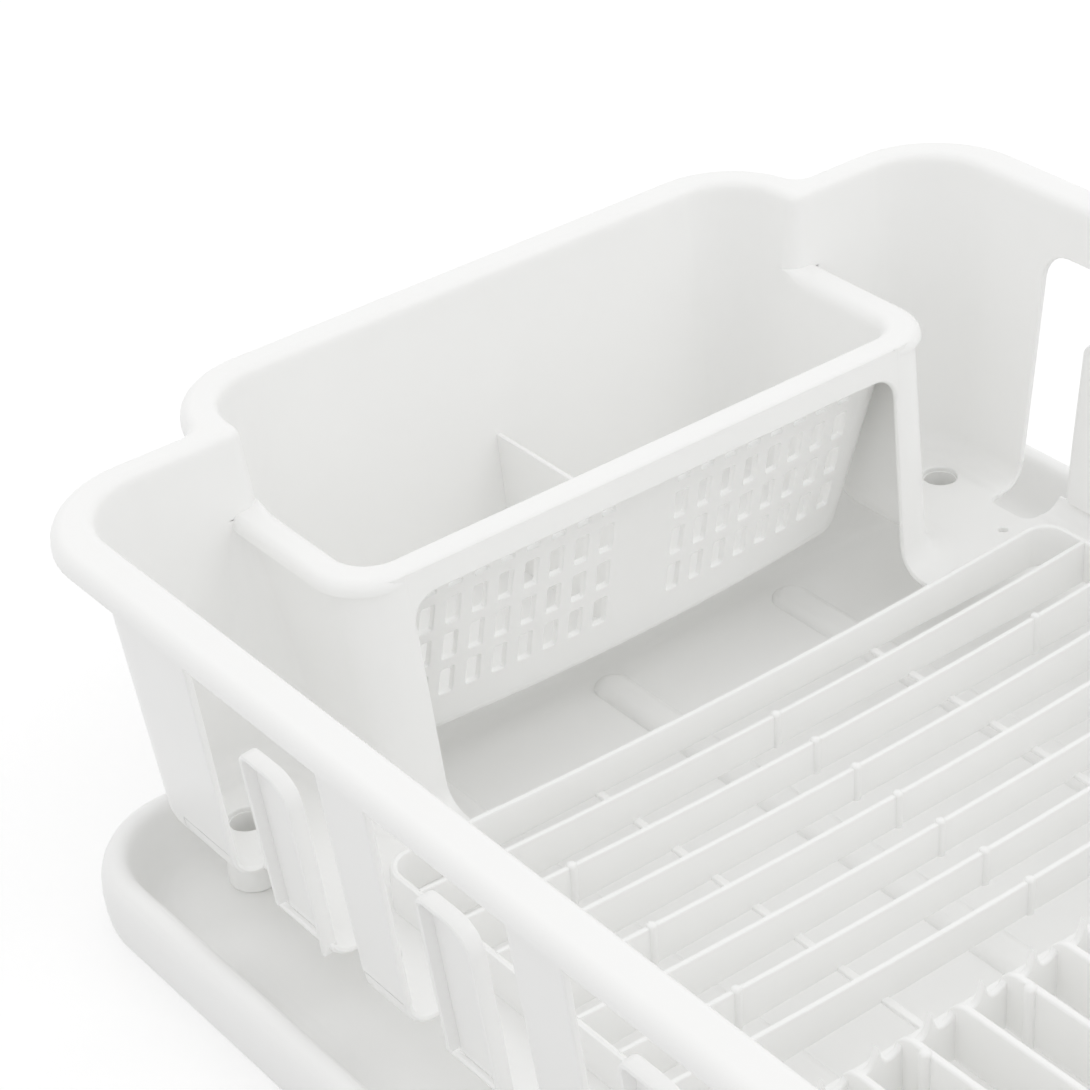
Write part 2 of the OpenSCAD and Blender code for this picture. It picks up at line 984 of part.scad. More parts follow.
// Side view of a cheek of the drain lip
module cheek_face() {
    x0 = tray_x1 - tray_rim_w - tray_lean;
    polygon([[x0, tray_floor], [tray_x1, tray_floor], [tray_x1, cheek_h], [x0 + tray_lean, tray_h], [x0, tray_h]]);
}

module drain_lip() {
    color("gainsboro") {
        span([tray_x1 - tray_rim_w - tray_lean, -lip_w / 2, 0], [tray_x1, lip_w / 2, tray_floor]);
        for (s = [-1, 1]) side(s) translate([0, lip_w / 2, 0]) rotate([90, 0, 0])
            linear_extrude(wall) cheek_face();
    }
}

rim_near();
rim_far();
rim_bin_end();
rim_plain_end();
wall_bin_near();
wall_bin_far();
wall_plain_near();
wall_plain_far();
strut_near_1();
strut_near_2();
strut_near_3();
strut_far_1();
strut_far_2();
strut_far_3();
strut_end_1();
strut_end_2();
prong_near_1();
prong_near_2();
prong_near_3();
prong_near_4();
prong_far_1();
prong_far_2();
prong_far_3();
prong_far_4();
prong_end_1();
prong_end_2();
prong_end_3();
ledge_near();
ledge_far();
ledge_plain();
rail_near();
rail_far();
pocket_near();
pocket_far();
foot_bin_near();
foot_bin_far();
foot_plain_near();
foot_plain_far();
floor_slats();
cross_ribs();
plate_fins();
comb_front();
comb_rear();
bin_back();
bin_side_near();
bin_side_far();
bin_floor();
bin_front();
bin_divider();
bin_rim();
portal();
wing_near();
wing_far();
tray_pan();
tray_rim();
tray_ribs();
drain_lip();
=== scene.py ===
# %% [markdown]
# # A moulded dish drying rack
#
# Two injection mouldings in white polypropylene: a drainer basket with a utensil bin at one end, and the
# drainboard it stands in. The CAD model gives the frame: the main sizes are read from its boxes, and the rest,
# such as pitches, fillets and edge radii, are named where they are first needed. Lengths are in millimetres
# until a mesh is made; the floor, the lamps and names that end in _M are in metres.

# %% Load the frame
import math
import bmesh
import bpy
import numpy as np
from mathutils import Matrix, Vector


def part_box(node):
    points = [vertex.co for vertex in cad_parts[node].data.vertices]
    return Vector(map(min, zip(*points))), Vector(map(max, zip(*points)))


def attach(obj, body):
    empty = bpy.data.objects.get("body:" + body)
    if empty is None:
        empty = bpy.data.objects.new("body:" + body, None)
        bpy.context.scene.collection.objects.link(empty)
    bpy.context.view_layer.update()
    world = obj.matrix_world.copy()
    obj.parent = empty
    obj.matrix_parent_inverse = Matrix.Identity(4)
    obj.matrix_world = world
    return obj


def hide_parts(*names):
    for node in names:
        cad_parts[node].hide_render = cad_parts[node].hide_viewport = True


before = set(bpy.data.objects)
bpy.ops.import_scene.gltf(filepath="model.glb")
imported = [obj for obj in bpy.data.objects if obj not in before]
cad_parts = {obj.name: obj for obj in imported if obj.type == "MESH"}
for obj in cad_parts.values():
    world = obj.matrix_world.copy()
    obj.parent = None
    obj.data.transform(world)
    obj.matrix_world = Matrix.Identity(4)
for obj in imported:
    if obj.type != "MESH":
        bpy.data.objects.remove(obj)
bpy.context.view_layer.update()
MM = 0.001

# %% [markdown]
# ## Sizes
# On the real rack the two moulds set every size. They could be typed in again here, but then the scene and the
# CAD would drift apart, so the boxes of the CAD nodes give the main ones. Rim widths, leans and radii follow.

# %% Sizes from the frame


def box(node):
    """Low and high corner of a CAD node's box."""
    low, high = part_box(node)
    return np.array(low) / MM, np.array(high) / MM


Z_TOP = box("rim_near")[1][2]
HALF_W = box("rim_far")[1][1]
BAY_X = box("rim_bin_end")[0][0]
RIM_X1 = box("rim_plain_end")[1][0]
BAY_OUT = 31.0
RIM_X0 = BAY_X + BAY_OUT
SLAT_LEAD = 1.5
SILL_X = box("floor_slats")[0][0] + SLAT_LEAD
RAIL_Y = box("floor_slats")[1][1]
Z_LOW = box("floor_slats")[0][2]
WALL = 2.4
HALF = WALL / 2
Z_FLOOR = Z_LOW + WALL
Z_SLAT = box("rail_near")[1][2]
Z_BASE = box("wall_plain_near")[0][2]
Z_PLATE = Z_TOP - WALL
print("rim", RIM_X0, RIM_X1, "half width", HALF_W, "top", Z_TOP, "floor", Z_FLOOR)

# %% Leans and radii of the basket
RIM_SIDE_W = 14.5
RIM_END_W = 10.5
CORNER_R = 38.0
INNER_R = 25.5
BASE_R = 18.0
LEAN_SIDE = 11.5
LEAN_END = 10.0
WALL_H = Z_PLATE - Z_BASE
IN_X0 = RIM_X0 + RIM_END_W
IN_X1 = RIM_X1 - RIM_END_W
IN_Y = HALF_W - RIM_SIDE_W
SIDE_SLOPE = LEAN_SIDE / WALL_H
END_SLOPE = LEAN_END / WALL_H
Z_JOIN = Z_TOP - 7.0
ARC_N = 14
print("walls", WALL_H, "high, leaning", LEAN_SIDE, "and", LEAN_END)

# %% The bay and the step beside it
BAY_HALF = 122.0
BAY_R = 34.0
BAY_RIM_W = 12.0
BIN_IN_X0 = BAY_X + BAY_RIM_W
BIN_Y = BAY_HALF - BAY_RIM_W
BIN_R = BAY_R - BAY_RIM_W
BIN_SLOPE = 0.108
BAY_NOTCH_R = 6.0
NOTCH_START = 9.0
STEP_R = 4.0
print("bay", 2 * BAY_HALF, "wide, bin inside", 2 * BIN_Y)

# %% [markdown]
# ## Making pieces
# A piece is one Blender object. It rides on a body, replaces the CAD nodes that it stands for, and is shaded
# smooth with its true edges kept. A moulded part could be one mesh, but features with names of their own are
# easier to look at and to mend.

# %% Making pieces
PIECES = []
SHARP = math.radians(38)
WELD_M = 2e-6
SLIVER_M = 1e-7


def put(name, data):
    """A new object in the scene."""
    made = bpy.data.objects.new(name, data)
    bpy.context.scene.collection.objects.link(made)
    return made


def piece(name, part, body, nodes=()):
    """A Blender object from a part, tied to the body that it moves with."""
    verts, faces = part
    mesh = bpy.data.meshes.new(name)
    mesh.from_pydata([tuple(p) for p in verts * MM], [], faces)
    build = bmesh.new()
    build.from_mesh(mesh)
    bmesh.ops.remove_doubles(build, verts=build.verts, dist=WELD_M)
    bmesh.ops.dissolve_degenerate(build, edges=build.edges, dist=SLIVER_M)
    bmesh.ops.recalc_face_normals(build, faces=build.faces)
    build.to_mesh(mesh)
    build.free()
    mesh.polygons.foreach_set("use_smooth", [True] * len(mesh.polygons))
    mesh.set_sharp_from_angle(angle=SHARP)
    made = put(name, mesh)
    even = made.modifiers.new("even shading", "WEIGHTED_NORMAL")
    even.keep_sharp = True
    even.weight = 100
    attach(made, body)
    if nodes:
        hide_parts(*nodes)
    PIECES.append(made)
    print(f"{name}: {len(mesh.polygons)} faces")
    return made


print("edges sharper than", round(math.degrees(SHARP)), "degrees stay sharp")

# %% [markdown]
# ## The basket's outline
# The rim is a rolled edge that stiffens the thin walls. It could be a curve with a bevel, but its width
# changes round the bay, so each station on its path holds the outer and inner point, their normals, and how
# the wall leans below. The far half is worked out and the near half is its mirror.

# %% Directions and corners
ACROSS = np.array([1.0, -1.0])


def unit(degrees):
    """The unit vector at an angle in degrees."""
    a = math.radians(degrees)
    return np.array([math.cos(a), math.sin(a)])


def corner_pair(theta, sx):
    """Inner wall at a corner: top point and lean per millimetre; sx is -1 at the bin end."""
    n = unit(theta)
    top_x = IN_X0 + INNER_R if sx < 0 else IN_X1 - INNER_R
    low_x = IN_X0 + LEAN_END + BASE_R if sx < 0 else IN_X1 - LEAN_END - BASE_R
    top = np.array([top_x, IN_Y - INNER_R]) + INNER_R * n
    low = np.array([low_x, IN_Y - LEAN_SIDE - BASE_R]) + BASE_R * n
    return top, (low - top) / WALL_H, n


def wall_point(theta, sx, z, offset=0.0):
    """A point of the corner's wall at height z, offset outwards from its inside."""
    top, lean, n = corner_pair(theta, sx)
    q = top + lean * (Z_PLATE - z) + n * offset
    return np.array([q[0], q[1], z])


print("bin end's corner starts at", wall_point(90, -1, Z_PLATE))

# %% Stations of the rim


def bay_stations():
    """From the bay's middle round its corner and through the step to the basket's corner."""
    back_n = np.array([-1.0, 0.0])
    st = [((BAY_X, 0), back_n, (BIN_IN_X0, 0), back_n, np.array([BIN_SLOPE, 0.0]))]
    cx, cy = BAY_X + BAY_R, BAY_HALF - BAY_R
    fx = RIM_X0 - BAY_NOTCH_R
    fy = cy + math.sqrt((BAY_R + BAY_NOTCH_R) ** 2 - (fx - cx) ** 2)
    meet = math.degrees(math.atan2(fy - cy, fx - cx))
    for a in np.linspace(180, meet, ARC_N + 1):
        n = unit(a)
        st.append(((cx + BAY_R * n[0], cy + BAY_R * n[1]), n,
                   (cx + BIN_R * n[0], cy + BIN_R * n[1]), n, -n * BIN_SLOPE))
    turn_x, turn_y = IN_X0 - STEP_R, BIN_Y + STEP_R
    side_n = np.array([0.0, 1.0])
    inner = [((cx, BIN_Y), side_n), (((cx + turn_x) / 2, BIN_Y), side_n)]
    for a in np.linspace(-90, 0, 7):
        n = -unit(a)
        inner.append(((turn_x - STEP_R * n[0], turn_y - STEP_R * n[1]), n))
    for (q, n_in), a in zip(inner, np.linspace(meet - 180 + NOTCH_START, 0, len(inner))):
        n_out = -unit(a)
        st.append(((fx - BAY_NOTCH_R * n_out[0], fy - BAY_NOTCH_R * n_out[1]), n_out, q, n_in,
                   np.array([END_SLOPE * -n_in[0], -n_in[1] * BIN_SLOPE])))
    return st


def rim_stations():
    """(outer, outer normal, inner, inner normal, lean) from the bay's middle to the plain end's middle."""
    st = bay_stations()
    for a in np.linspace(180, 90, ARC_N + 1):
        top, lean, n = corner_pair(a, -1)
        st.append(((RIM_X0 + CORNER_R * (1 + n[0]), HALF_W + CORNER_R * (n[1] - 1)), n, top, n, lean))
    for a in np.linspace(90, 0, ARC_N + 1):
        top, lean, n = corner_pair(a, 1)
        st.append(((RIM_X1 + CORNER_R * (n[0] - 1), HALF_W + CORNER_R * (n[1] - 1)), n, top, n, lean))
    end_n = np.array([1.0, 0.0])
    st.append(((RIM_X1, 0), end_n, (IN_X1, 0), end_n, np.array([-END_SLOPE, 0.0])))
    return st


def mirrored(st):
    """The stations all the way round, from those of the far half."""
    near = [tuple(np.array(v) * ACROSS for v in s) for s in reversed(st[1:-1])]
    return [tuple(np.array(v, float) for v in s) for s in st] + near


print("rim stations:", len(rim_stations()))

# %% [markdown]
# The section of the rim rolls over from the wall's inside to a short hanging skirt. In it, ("in", a, drop) is
# a past the wall's inside, and ("out", a, drop) is a inside the outer edge. `loft` joins the sections with
# quads.

# %% The rim
RIM_IN_R = 3.0
RIM_OUT_R = 4.5


def rim_section():
    """The rim's section, from the wall's inside over the top and back to the wall's outside."""
    pts = [("in", 0.0, Z_TOP - Z_JOIN), ("in", 0.0, RIM_IN_R + 0.6)]
    for a in np.radians(np.linspace(10, 90, 6)):
        pts.append(("in", RIM_IN_R * (1 - math.cos(a)), RIM_IN_R * (1 - math.sin(a))))
    for a in np.radians(np.linspace(90, 0, 8)):
        pts.append(("out", RIM_OUT_R * (1 - math.cos(a)), RIM_OUT_R * (1 - math.sin(a))))
    pts += [("out", 0.0, 6.3), ("out", 0.4, 6.9), ("out", 1.2, 7.0), ("out", 1.8, 6.6), ("out", 2.0, 5.2)]
    pts += [("out", 3.2, 3.2), ("out", 5.0, 2.6), ("in", 4.0, 2.6), ("in", WALL + 0.3, 4.0)]
    pts.append(("in", WALL, Z_TOP - Z_JOIN))
    return pts


def loft(sections, closed_path=False, closed_section=False, caps=False):
    """Joins sections, each a list of points, with quads."""
    s = np.asarray(sections, float)
    ns, npnt = s.shape[:2]
    faces = []
    for i in range(ns if closed_path else ns - 1):
        for j in range(npnt if closed_section else npnt - 1):
            a, b = i, (i + 1) % ns
            c, d = j, (j + 1) % npnt
            faces.append([a * npnt + c, b * npnt + c, b * npnt + d, a * npnt + d])
    if caps:
        faces.append(list(range(npnt)))
        faces.append([(ns - 1) * npnt + j for j in reversed(range(npnt))])
    return s.reshape(-1, 3), faces


def rim_part():
    """The section at every station, joined all the way round."""
    rows = []
    for o, n_o, i, n_i, lean in mirrored(rim_stations()):
        row = []
        for kind, a, drop in rim_section():
            if kind == "in":
                q = i + lean * (drop - WALL) + n_i * a
            else:
                q = o - n_o * a
            row.append((q[0], q[1], Z_TOP - drop))
        rows.append(row)
    return loft(rows, closed_path=True)


piece("rim", rim_part(), "drainer", ("rim_near", "rim_far", "rim_bin_end", "rim_plain_end"))

# %% [markdown]
# ## Walls
# The long walls and the plain end are flat, with large openings that let water and air out. Cutting them with
# booleans leaves sharp edges and poor faces, while a moulding has a small radius on each edge. So `plate`
# fills a 2D curve, whose loops are the outline and its holes, and gives every edge the curve's own bevel.

# %% Outlines


def arc(cx, cy, r, a0, a1, n):
    """Points of an arc, angles in degrees."""
    angles = np.radians(np.linspace(a0, a1, n + 1))
    return [(cx + r * math.cos(a), cy + r * math.sin(a)) for a in angles]


def rounded(points, radii, n=6):
    """A closed polygon with each corner rounded to its own radius."""
    out = []
    count = len(points)
    for i in range(count):
        p = Vector(points[i]).to_2d()
        a = (Vector(points[i - 1]).to_2d() - p).normalized()
        b = (Vector(points[(i + 1) % count]).to_2d() - p).normalized()
        r = radii[i] if hasattr(radii, "__len__") else radii
        if r <= 0:
            out.append((p.x, p.y))
            continue
        half = a.angle(b) / 2
        centre = p + (a + b).normalized() * (r / math.sin(half))
        start = p + a * (r / math.tan(half)) - centre
        end = p + b * (r / math.tan(half)) - centre
        turn = start.angle_signed(end)
        for k in range(n + 1):
            spot = start.copy()
            spot.rotate(Matrix.Rotation(-turn * k / n, 2))
            out.append((centre.x + spot.x, centre.y + spot.y))
    return out


square = [(0, 0), (10, 0), (10, 10), (0, 10)]
print("a square with rounded corners has", len(rounded(square, 2.0)), "points")

# %% Plates
SNAP = 1e-4


def plate(loops, thick, edge, origin, u, v, steps=2):
    """An extruded outline with holes, its edges rounded; origin, u and v place its middle plane."""
    curve = bpy.data.curves.new("outline", "CURVE")
    curve.dimensions = "2D"
    curve.fill_mode = "BOTH"
    curve.extrude = max(thick / 2 - edge, 0.0)
    curve.bevel_depth = edge
    curve.bevel_resolution = steps
    curve.offset = -edge
    for loop in loops:
        spline = curve.splines.new("POLY")
        spline.points.add(len(loop) - 1)
        spline.points.foreach_set("co", [c for x, y in loop for c in (x, y, 0.0, 1.0)])
        spline.use_cyclic_u = True
    holder = put("outline", curve)
    mesh = bpy.data.meshes.new_from_object(holder.evaluated_get(bpy.context.evaluated_depsgraph_get()))
    build = bmesh.new()
    build.from_mesh(mesh)
    bmesh.ops.remove_doubles(build, verts=build.verts, dist=SNAP)
    local = np.array([tuple(q.co) for q in build.verts])
    faces = [[q.index for q in face.verts] for face in build.faces]
    build.free()
    bpy.data.objects.remove(holder)
    bpy.data.curves.remove(curve)
    bpy.data.meshes.remove(mesh)
    u, v = np.array(u, float), np.array(v, float)
    u, v = u / np.linalg.norm(u), v / np.linalg.norm(v)
    axes = np.stack([u, v, np.cross(u, v)])
    return np.array(origin, float) + local @ axes, faces


sample = plate([square], WALL, 0.5, (0, 0, 0), (1, 0, 0), (0, 1, 0))
print("a plain square plate has", len(sample[1]), "faces")

# %% [markdown]
# A plate has to meet its neighbour exactly, so it is made too long and cut back along the seam. A part is a
# pair of vertices and faces until it becomes a piece, and the far side's parts make the near side's by
# mirroring.

# %% Joining and trimming
MIRROR = np.array([1.0, -1.0, 1.0])


def join(parts):
    """Several parts as one."""
    verts, faces, base = [], [], 0
    for v, f in parts:
        verts.append(np.asarray(v, float))
        faces += [[i + base for i in face] for face in f]
        base += len(v)
    return np.concatenate(verts), faces


def mirror(part):
    """The near side's twin of a far part."""
    v, f = part
    return v * MIRROR, [list(reversed(face)) for face in f]


def both(part):
    """A far part and its near twin."""
    return join([part, mirror(part)])


def trim(part, point, normal, clear=True):
    """Cuts away what lies on the side that normal points to, and leaves the cut open.

    Without clear it only scores the part along the plane.
    """
    mesh = bpy.data.meshes.new("trim")
    mesh.from_pydata([tuple(p) for p in part[0]], [], part[1])
    build = bmesh.new()
    build.from_mesh(mesh)
    geom = build.verts[:] + build.edges[:] + build.faces[:]
    bmesh.ops.bisect_plane(build, geom=geom, dist=SNAP, plane_co=point, plane_no=normal, clear_outer=clear)
    build.verts.index_update()
    out = (np.array([tuple(q.co) for q in build.verts]),
           [[q.index for q in face.verts] for face in build.faces])
    build.free()
    bpy.data.meshes.remove(mesh)
    return out


def trim_ends(part, point, normal):
    """Trims at a seam on the far side and at its mirror on the near side."""
    return trim(trim(part, point, normal), point * MIRROR, normal * MIRROR)


def cut_plane(direction, across, outward):
    """Normal of the plane through two directions, turned to face outward."""
    normal = np.cross(direction, across)
    return normal if normal @ np.asarray(outward, float) > 0 else -normal


print("a plane along x and z faces", cut_plane((0, 0, 1), (1, 0, 0), (0, 1, 0)))

# %% Long walls and end wall
OPEN_PITCH = 84.0
OPEN_BACK = 1.8
OPEN_DROP = 20.0
OPEN_TOP_R = 10.0
FIRST_WIDER = 4.2
STRUT_TOP_W = 23.0
STRUT_LOW_W = 21.0
SIDE_XS = [SILL_X - OPEN_BACK + i * OPEN_PITCH for i in range(4)]
END_YS = [(i - 1) * OPEN_PITCH for i in range(3)]
WALL_EDGE = 0.7
SEAM = 4.0
FILLET_TOP = Z_FLOOR + 8.0
SPARE_TOP = 6.0
SPARE_LOW = 14.0
OPEN_SPARE = 8.0


def flat_wall(y_or_x, slope, z):
    """Middle of a leaning flat wall at height z, measured from the centre."""
    return y_or_x - slope * (Z_PLATE - z) + HALF


def opening(mid, top, low, wider=0.0):
    """Outline of an opening: round at the top and narrower there, because its struts widen upwards."""
    wt, wl = (OPEN_PITCH - STRUT_TOP_W) / 2, (OPEN_PITCH - STRUT_LOW_W) / 2
    pts = [(mid - wl - wider, low), (mid + wl, low), (mid + wt, top), (mid - wt - wider, top)]
    return rounded(pts, [0, 0, OPEN_TOP_R, OPEN_TOP_R])


def ruling(theta, sx):
    """Seam line between a flat wall and its corner: a point on it and its direction."""
    a, b = wall_point(theta, sx, Z_JOIN, HALF), wall_point(theta, sx, Z_BASE, HALF)
    shift = np.array([-sx * SEAM, 0, 0]) if theta == 90 else np.array([0, -SEAM, 0])
    return a + shift, b - a


def flat_part(reach0, reach1, mids, face, slope, along):
    """A leaning wall with an opening at each of mids, between the rim and the base fillet."""
    v_axis = np.array([0.0, slope, 1.0]) if along[0] else np.array([slope, 0.0, 1.0])
    scale = np.linalg.norm(v_axis)
    origin = np.array([0.0, 1.0, 0.0]) if along[0] else np.array([1.0, 0.0, 0.0])
    origin = origin * (face - slope * Z_PLATE + HALF)
    z0, z1 = (Z_FLOOR - SPARE_LOW) * scale, (Z_JOIN + SPARE_TOP) * scale
    loops = [[(reach0, z0), (reach1, z0), (reach1, z1), (reach0, z1)]]
    for m in mids:
        wider = FIRST_WIDER if m == SIDE_XS[0] else 0.0
        loops.append(opening(m, (Z_TOP - OPEN_DROP) * scale, (Z_FLOOR - OPEN_SPARE) * scale, wider))
    part = plate(loops, WALL, WALL_EDGE, origin, along, v_axis)
    part = trim(part, (0, 0, Z_JOIN), (0, 0, 1))
    return trim(part, (0, 0, FILLET_TOP), (0, 0, -1))


def side_wall():
    part = flat_part(IN_X0, IN_X1, SIDE_XS, IN_Y, SIDE_SLOPE, (1, 0, 0))
    for sx in (-1, 1):
        a, d = ruling(90, sx)
        part = trim(part, a, cut_plane(d, (0, 1, 0), (sx, 0, 0)))
    return part


def end_wall():
    part = flat_part(-IN_Y, IN_Y, END_YS, IN_X1, END_SLOPE, (0, 1, 0))
    a, d = ruling(0, 1)
    return trim_ends(part, a, cut_plane(d, (1, 0, 0), (0, 1, 0)))


print("openings at", SIDE_XS, "and", END_YS, "fillet starts at", FILLET_TOP)

# %% [markdown]
# ## Base fillets
# Where a wall turns into the floor, the mould has a wide fillet, and beside each prong it is cut down to a low
# lip. A bevel can't follow both, so the fillet is a strip of its own: `bend` draws one column of points and
# `shell` thickens a grid of such columns.

# %% Thickening a grid
EDGE_STEPS = 4
TINY = 1e-9


def shell(grid, thick, keep=None, closed=False, open_sides=()):
    """Thickens a grid of middle-surface points. Free edges are rounded, except on open_sides."""
    p = np.asarray(grid, float)
    ni, nj = p.shape[:2]
    if closed:
        du = np.roll(p, -1, 0) - np.roll(p, 1, 0)
    else:
        du = np.gradient(p, axis=0)
    dv = np.gradient(p, axis=1)
    n = np.cross(du, dv)
    n /= np.maximum(np.linalg.norm(n, axis=2, keepdims=True), TINY)
    cells_i = ni if closed else ni - 1
    keep = np.ones((cells_i, nj - 1), bool) if keep is None else keep
    verts = list((p + n * thick / 2).reshape(-1, 3)) + list((p - n * thick / 2).reshape(-1, 3))
    front = lambda i, j: (i % ni) * nj + j
    back = lambda i, j: ni * nj + (i % ni) * nj + j
    faces, rim_dirs, rim_edges = [], {}, []

    def kept(i, j):
        if closed:
            i %= ni
        return 0 <= i < cells_i and 0 <= j < nj - 1 and keep[i, j]

    def side_of(i):
        return ("i0" if i < 0 else "i1" if i >= cells_i else "") if not closed else ""

    for i in range(cells_i):
        for j in range(nj - 1):
            if not keep[i, j]:
                continue
            quad = [(i, j), (i + 1, j), (i + 1, j + 1), (i, j + 1)]
            faces.append([front(*q) for q in quad])
            faces.append([back(*q) for q in reversed(quad)])
            mid = sum(p[q[0] % ni, q[1]] for q in quad) / 4
            around = [((i, j - 1), 0), ((i + 1, j), 1), ((i, j + 1), 2), ((i - 1, j), 3)]
            for (a, b), e in around:
                if kept(a, b):
                    continue
                name = side_of(a) or ("j0" if b < 0 else "j1" if b >= nj - 1 else "")
                if name in open_sides:
                    continue
                q0, q1 = quad[e], quad[(e + 1) % 4]
                a0, a1 = p[q0[0] % ni, q0[1]], p[q1[0] % ni, q1[1]]
                along = (a1 - a0) / max(np.linalg.norm(a1 - a0), TINY)
                out = (a0 + a1) / 2 - mid
                out -= along * (out @ along)
                out /= max(np.linalg.norm(out), TINY)
                rim_edges.append((q0, q1))
                for q in (q0, q1):
                    key = (q[0] % ni, q[1])
                    rim_dirs[key] = rim_dirs.get(key, 0) + out
    strips = {}
    for key, d in rim_dirs.items():
        d = d / max(np.linalg.norm(d), TINY)
        ids = [front(*key)]
        for k in range(1, EDGE_STEPS):
            a = math.pi * k / EDGE_STEPS
            verts.append(p[key] + thick / 2 * (math.cos(a) * n[key] + math.sin(a) * d))
            ids.append(len(verts) - 1)
        strips[key] = ids + [back(*key)]
    for q0, q1 in rim_edges:
        s0, s1 = strips[(q0[0] % ni, q0[1])], strips[(q1[0] % ni, q1[1])]
        for k in range(EDGE_STEPS):
            faces.append([s1[k], s0[k], s0[k + 1], s1[k + 1]])
    return np.array(verts), faces


patch = [[(x, y, 0.0) for y in (0.0, 5.0, 10.0)] for x in (0.0, 5.0, 10.0)]
print("a patch of 4 cells, thickened, has", len(shell(patch, WALL)[1]), "faces")

# %% Bends
FILLET_N = 8


def bend(points, r):
    """An open line of three points with its corner rounded."""
    a, p, b = [np.asarray(q, float) for q in points]
    da, db = (a - p) / np.linalg.norm(a - p), (b - p) / np.linalg.norm(b - p)
    half = math.acos(float(np.clip(da @ db, -1, 1))) / 2
    reach = r / math.tan(half)
    centre = p + (da + db) / np.linalg.norm(da + db) * (r / math.sin(half))
    s, e = p + da * reach - centre, p + db * reach - centre
    total = math.pi - 2 * half
    side = (e - s * math.cos(total)) / math.sin(total)
    angles = [total * k / FILLET_N for k in range(FILLET_N + 1)]
    turn = [centre + s * math.cos(t) + side * math.sin(t) for t in angles]
    return [a] + turn + [b]


print("a rounded corner is", len(bend([(0, 0, 9), (0, 0, 0), (9, 0, 0)], 3.0)), "points long")

# %% Base fillets
BASE_R_MID = 7.0 + HALF
Z_FLOOR_MID = Z_FLOOR - HALF
LIP_TOP = Z_FLOOR + 2.6
FLAT_END = 2.5
NOTCH_A = (-35.2, -16.2)
NOTCH_B = (13.5, 27.5)


def fillet_line(q_top, q_low, inward, r):
    """One column of a base fillet, from its top on the wall to the flat floor."""
    return bend([q_top, q_low, q_low + np.array(inward, float) * (r + FLAT_END)], r)


def side_column(x, z_top):
    low = np.array([x, flat_wall(IN_Y, SIDE_SLOPE, Z_FLOOR_MID), Z_FLOOR_MID])
    top = np.array([x, flat_wall(IN_Y, SIDE_SLOPE, FILLET_TOP), FILLET_TOP])
    return cut_low(fillet_line(top, low, (0, -1, 0), BASE_R_MID), z_top)


def end_column(y, z_top):
    low = np.array([flat_wall(IN_X1, END_SLOPE, Z_FLOOR_MID), y, Z_FLOOR_MID])
    top = np.array([flat_wall(IN_X1, END_SLOPE, FILLET_TOP), y, FILLET_TOP])
    return cut_low(fillet_line(top, low, (-1, 0, 0), BASE_R_MID), z_top)


def cut_low(points, z_top):
    """Starts the column at height z_top."""
    for k in range(len(points) - 1):
        a, b = points[k], points[k + 1]
        if a[2] >= z_top > b[2]:
            return [a + (b - a) * (a[2] - z_top) / (a[2] - b[2])] + points[k + 1:]
    return points


def strip(column, x0, x1, z_top):
    """A length of base fillet that starts at height z_top."""
    grid = [column(x, z_top) for x in np.linspace(x0, x1, 5)]
    open_sides = ("j0", "j1") if z_top >= FILLET_TOP else ("j1",)
    return shell(grid, WALL, open_sides=open_sides)


def base_strips(column, mids, strut_mids):
    """The fillets under a wall's struts and the low lips at its prongs."""
    wl = STRUT_LOW_W / 2
    lips = [(m + NOTCH_A[1], m + NOTCH_B[0]) for m in mids]
    parts = [strip(column, m - wl + HALF, m + wl - HALF, FILLET_TOP) for m in strut_mids]
    parts += [strip(column, a + HALF, b - HALF, LIP_TOP) for a, b in lips]
    return parts


print("fillet's middle radius", BASE_R_MID, "lips end at", LIP_TOP)

# %% [markdown]
# ## Corner walls and pockets
# The pocket beside the bin is one smooth surface on the real rack: the basket's corner, a strip of end wall, a
# wide fillet, the wing, and the portal's leg, all swept into the floor. Separate plates would show seams, so
# rows of points at two heights are joined by columns that end in the floor's fillet.

# %% Rows of the corner and the wing
LEG_R_MID = 9.0 + HALF
WING_TOP_Y = 116.0
WING_LOW_Y = 110.5
WING_R_TOP = 5.0
WING_R_GROW = 20.0
PORTAL_TOP_X = RIM_X0 + 74.0
PORTAL_LOW_X = RIM_X0 + 82.5
PORTAL_TOP_Y = 97.2
PORTAL_LOW_Y = 94.7
LEG_R_TOP = 17.0
LEG_R_LOW = 10.0
STEP_LEAD = 3.0
Z_BIN_RIM = Z_TOP - 26.5
Z_HOUSE = Z_BIN_RIM - 1.5


def blend_z(top, low, z):
    """A value at height z, between the housing's top and the floor."""
    t = (Z_HOUSE - z) / (Z_HOUSE - Z_FLOOR)
    return top + (low - top) * t


def wing_r(z):
    """The hollow corner between the end wall and the wing widens towards the floor."""
    return WING_R_TOP + WING_R_GROW * (Z_HOUSE - z) / (Z_HOUSE - Z_FLOOR)


def end_x(z):
    """Inside of the bin end's wall at height z."""
    return IN_X0 + END_SLOPE * (Z_PLATE - z)


def corner_row(z, sx):
    """Corner wall at height z from the long wall's seam: points on its inside and their outward normals."""
    out = []
    for a in np.linspace(90, 180 if sx < 0 else 0, ARC_N + 1):
        top, lean, n = corner_pair(a, sx)
        q = top + lean * (Z_PLATE - z)
        if a == 90:
            out.append((q + np.array([-sx * SEAM, 0.0]), n))
        out.append((q, n))
    return out


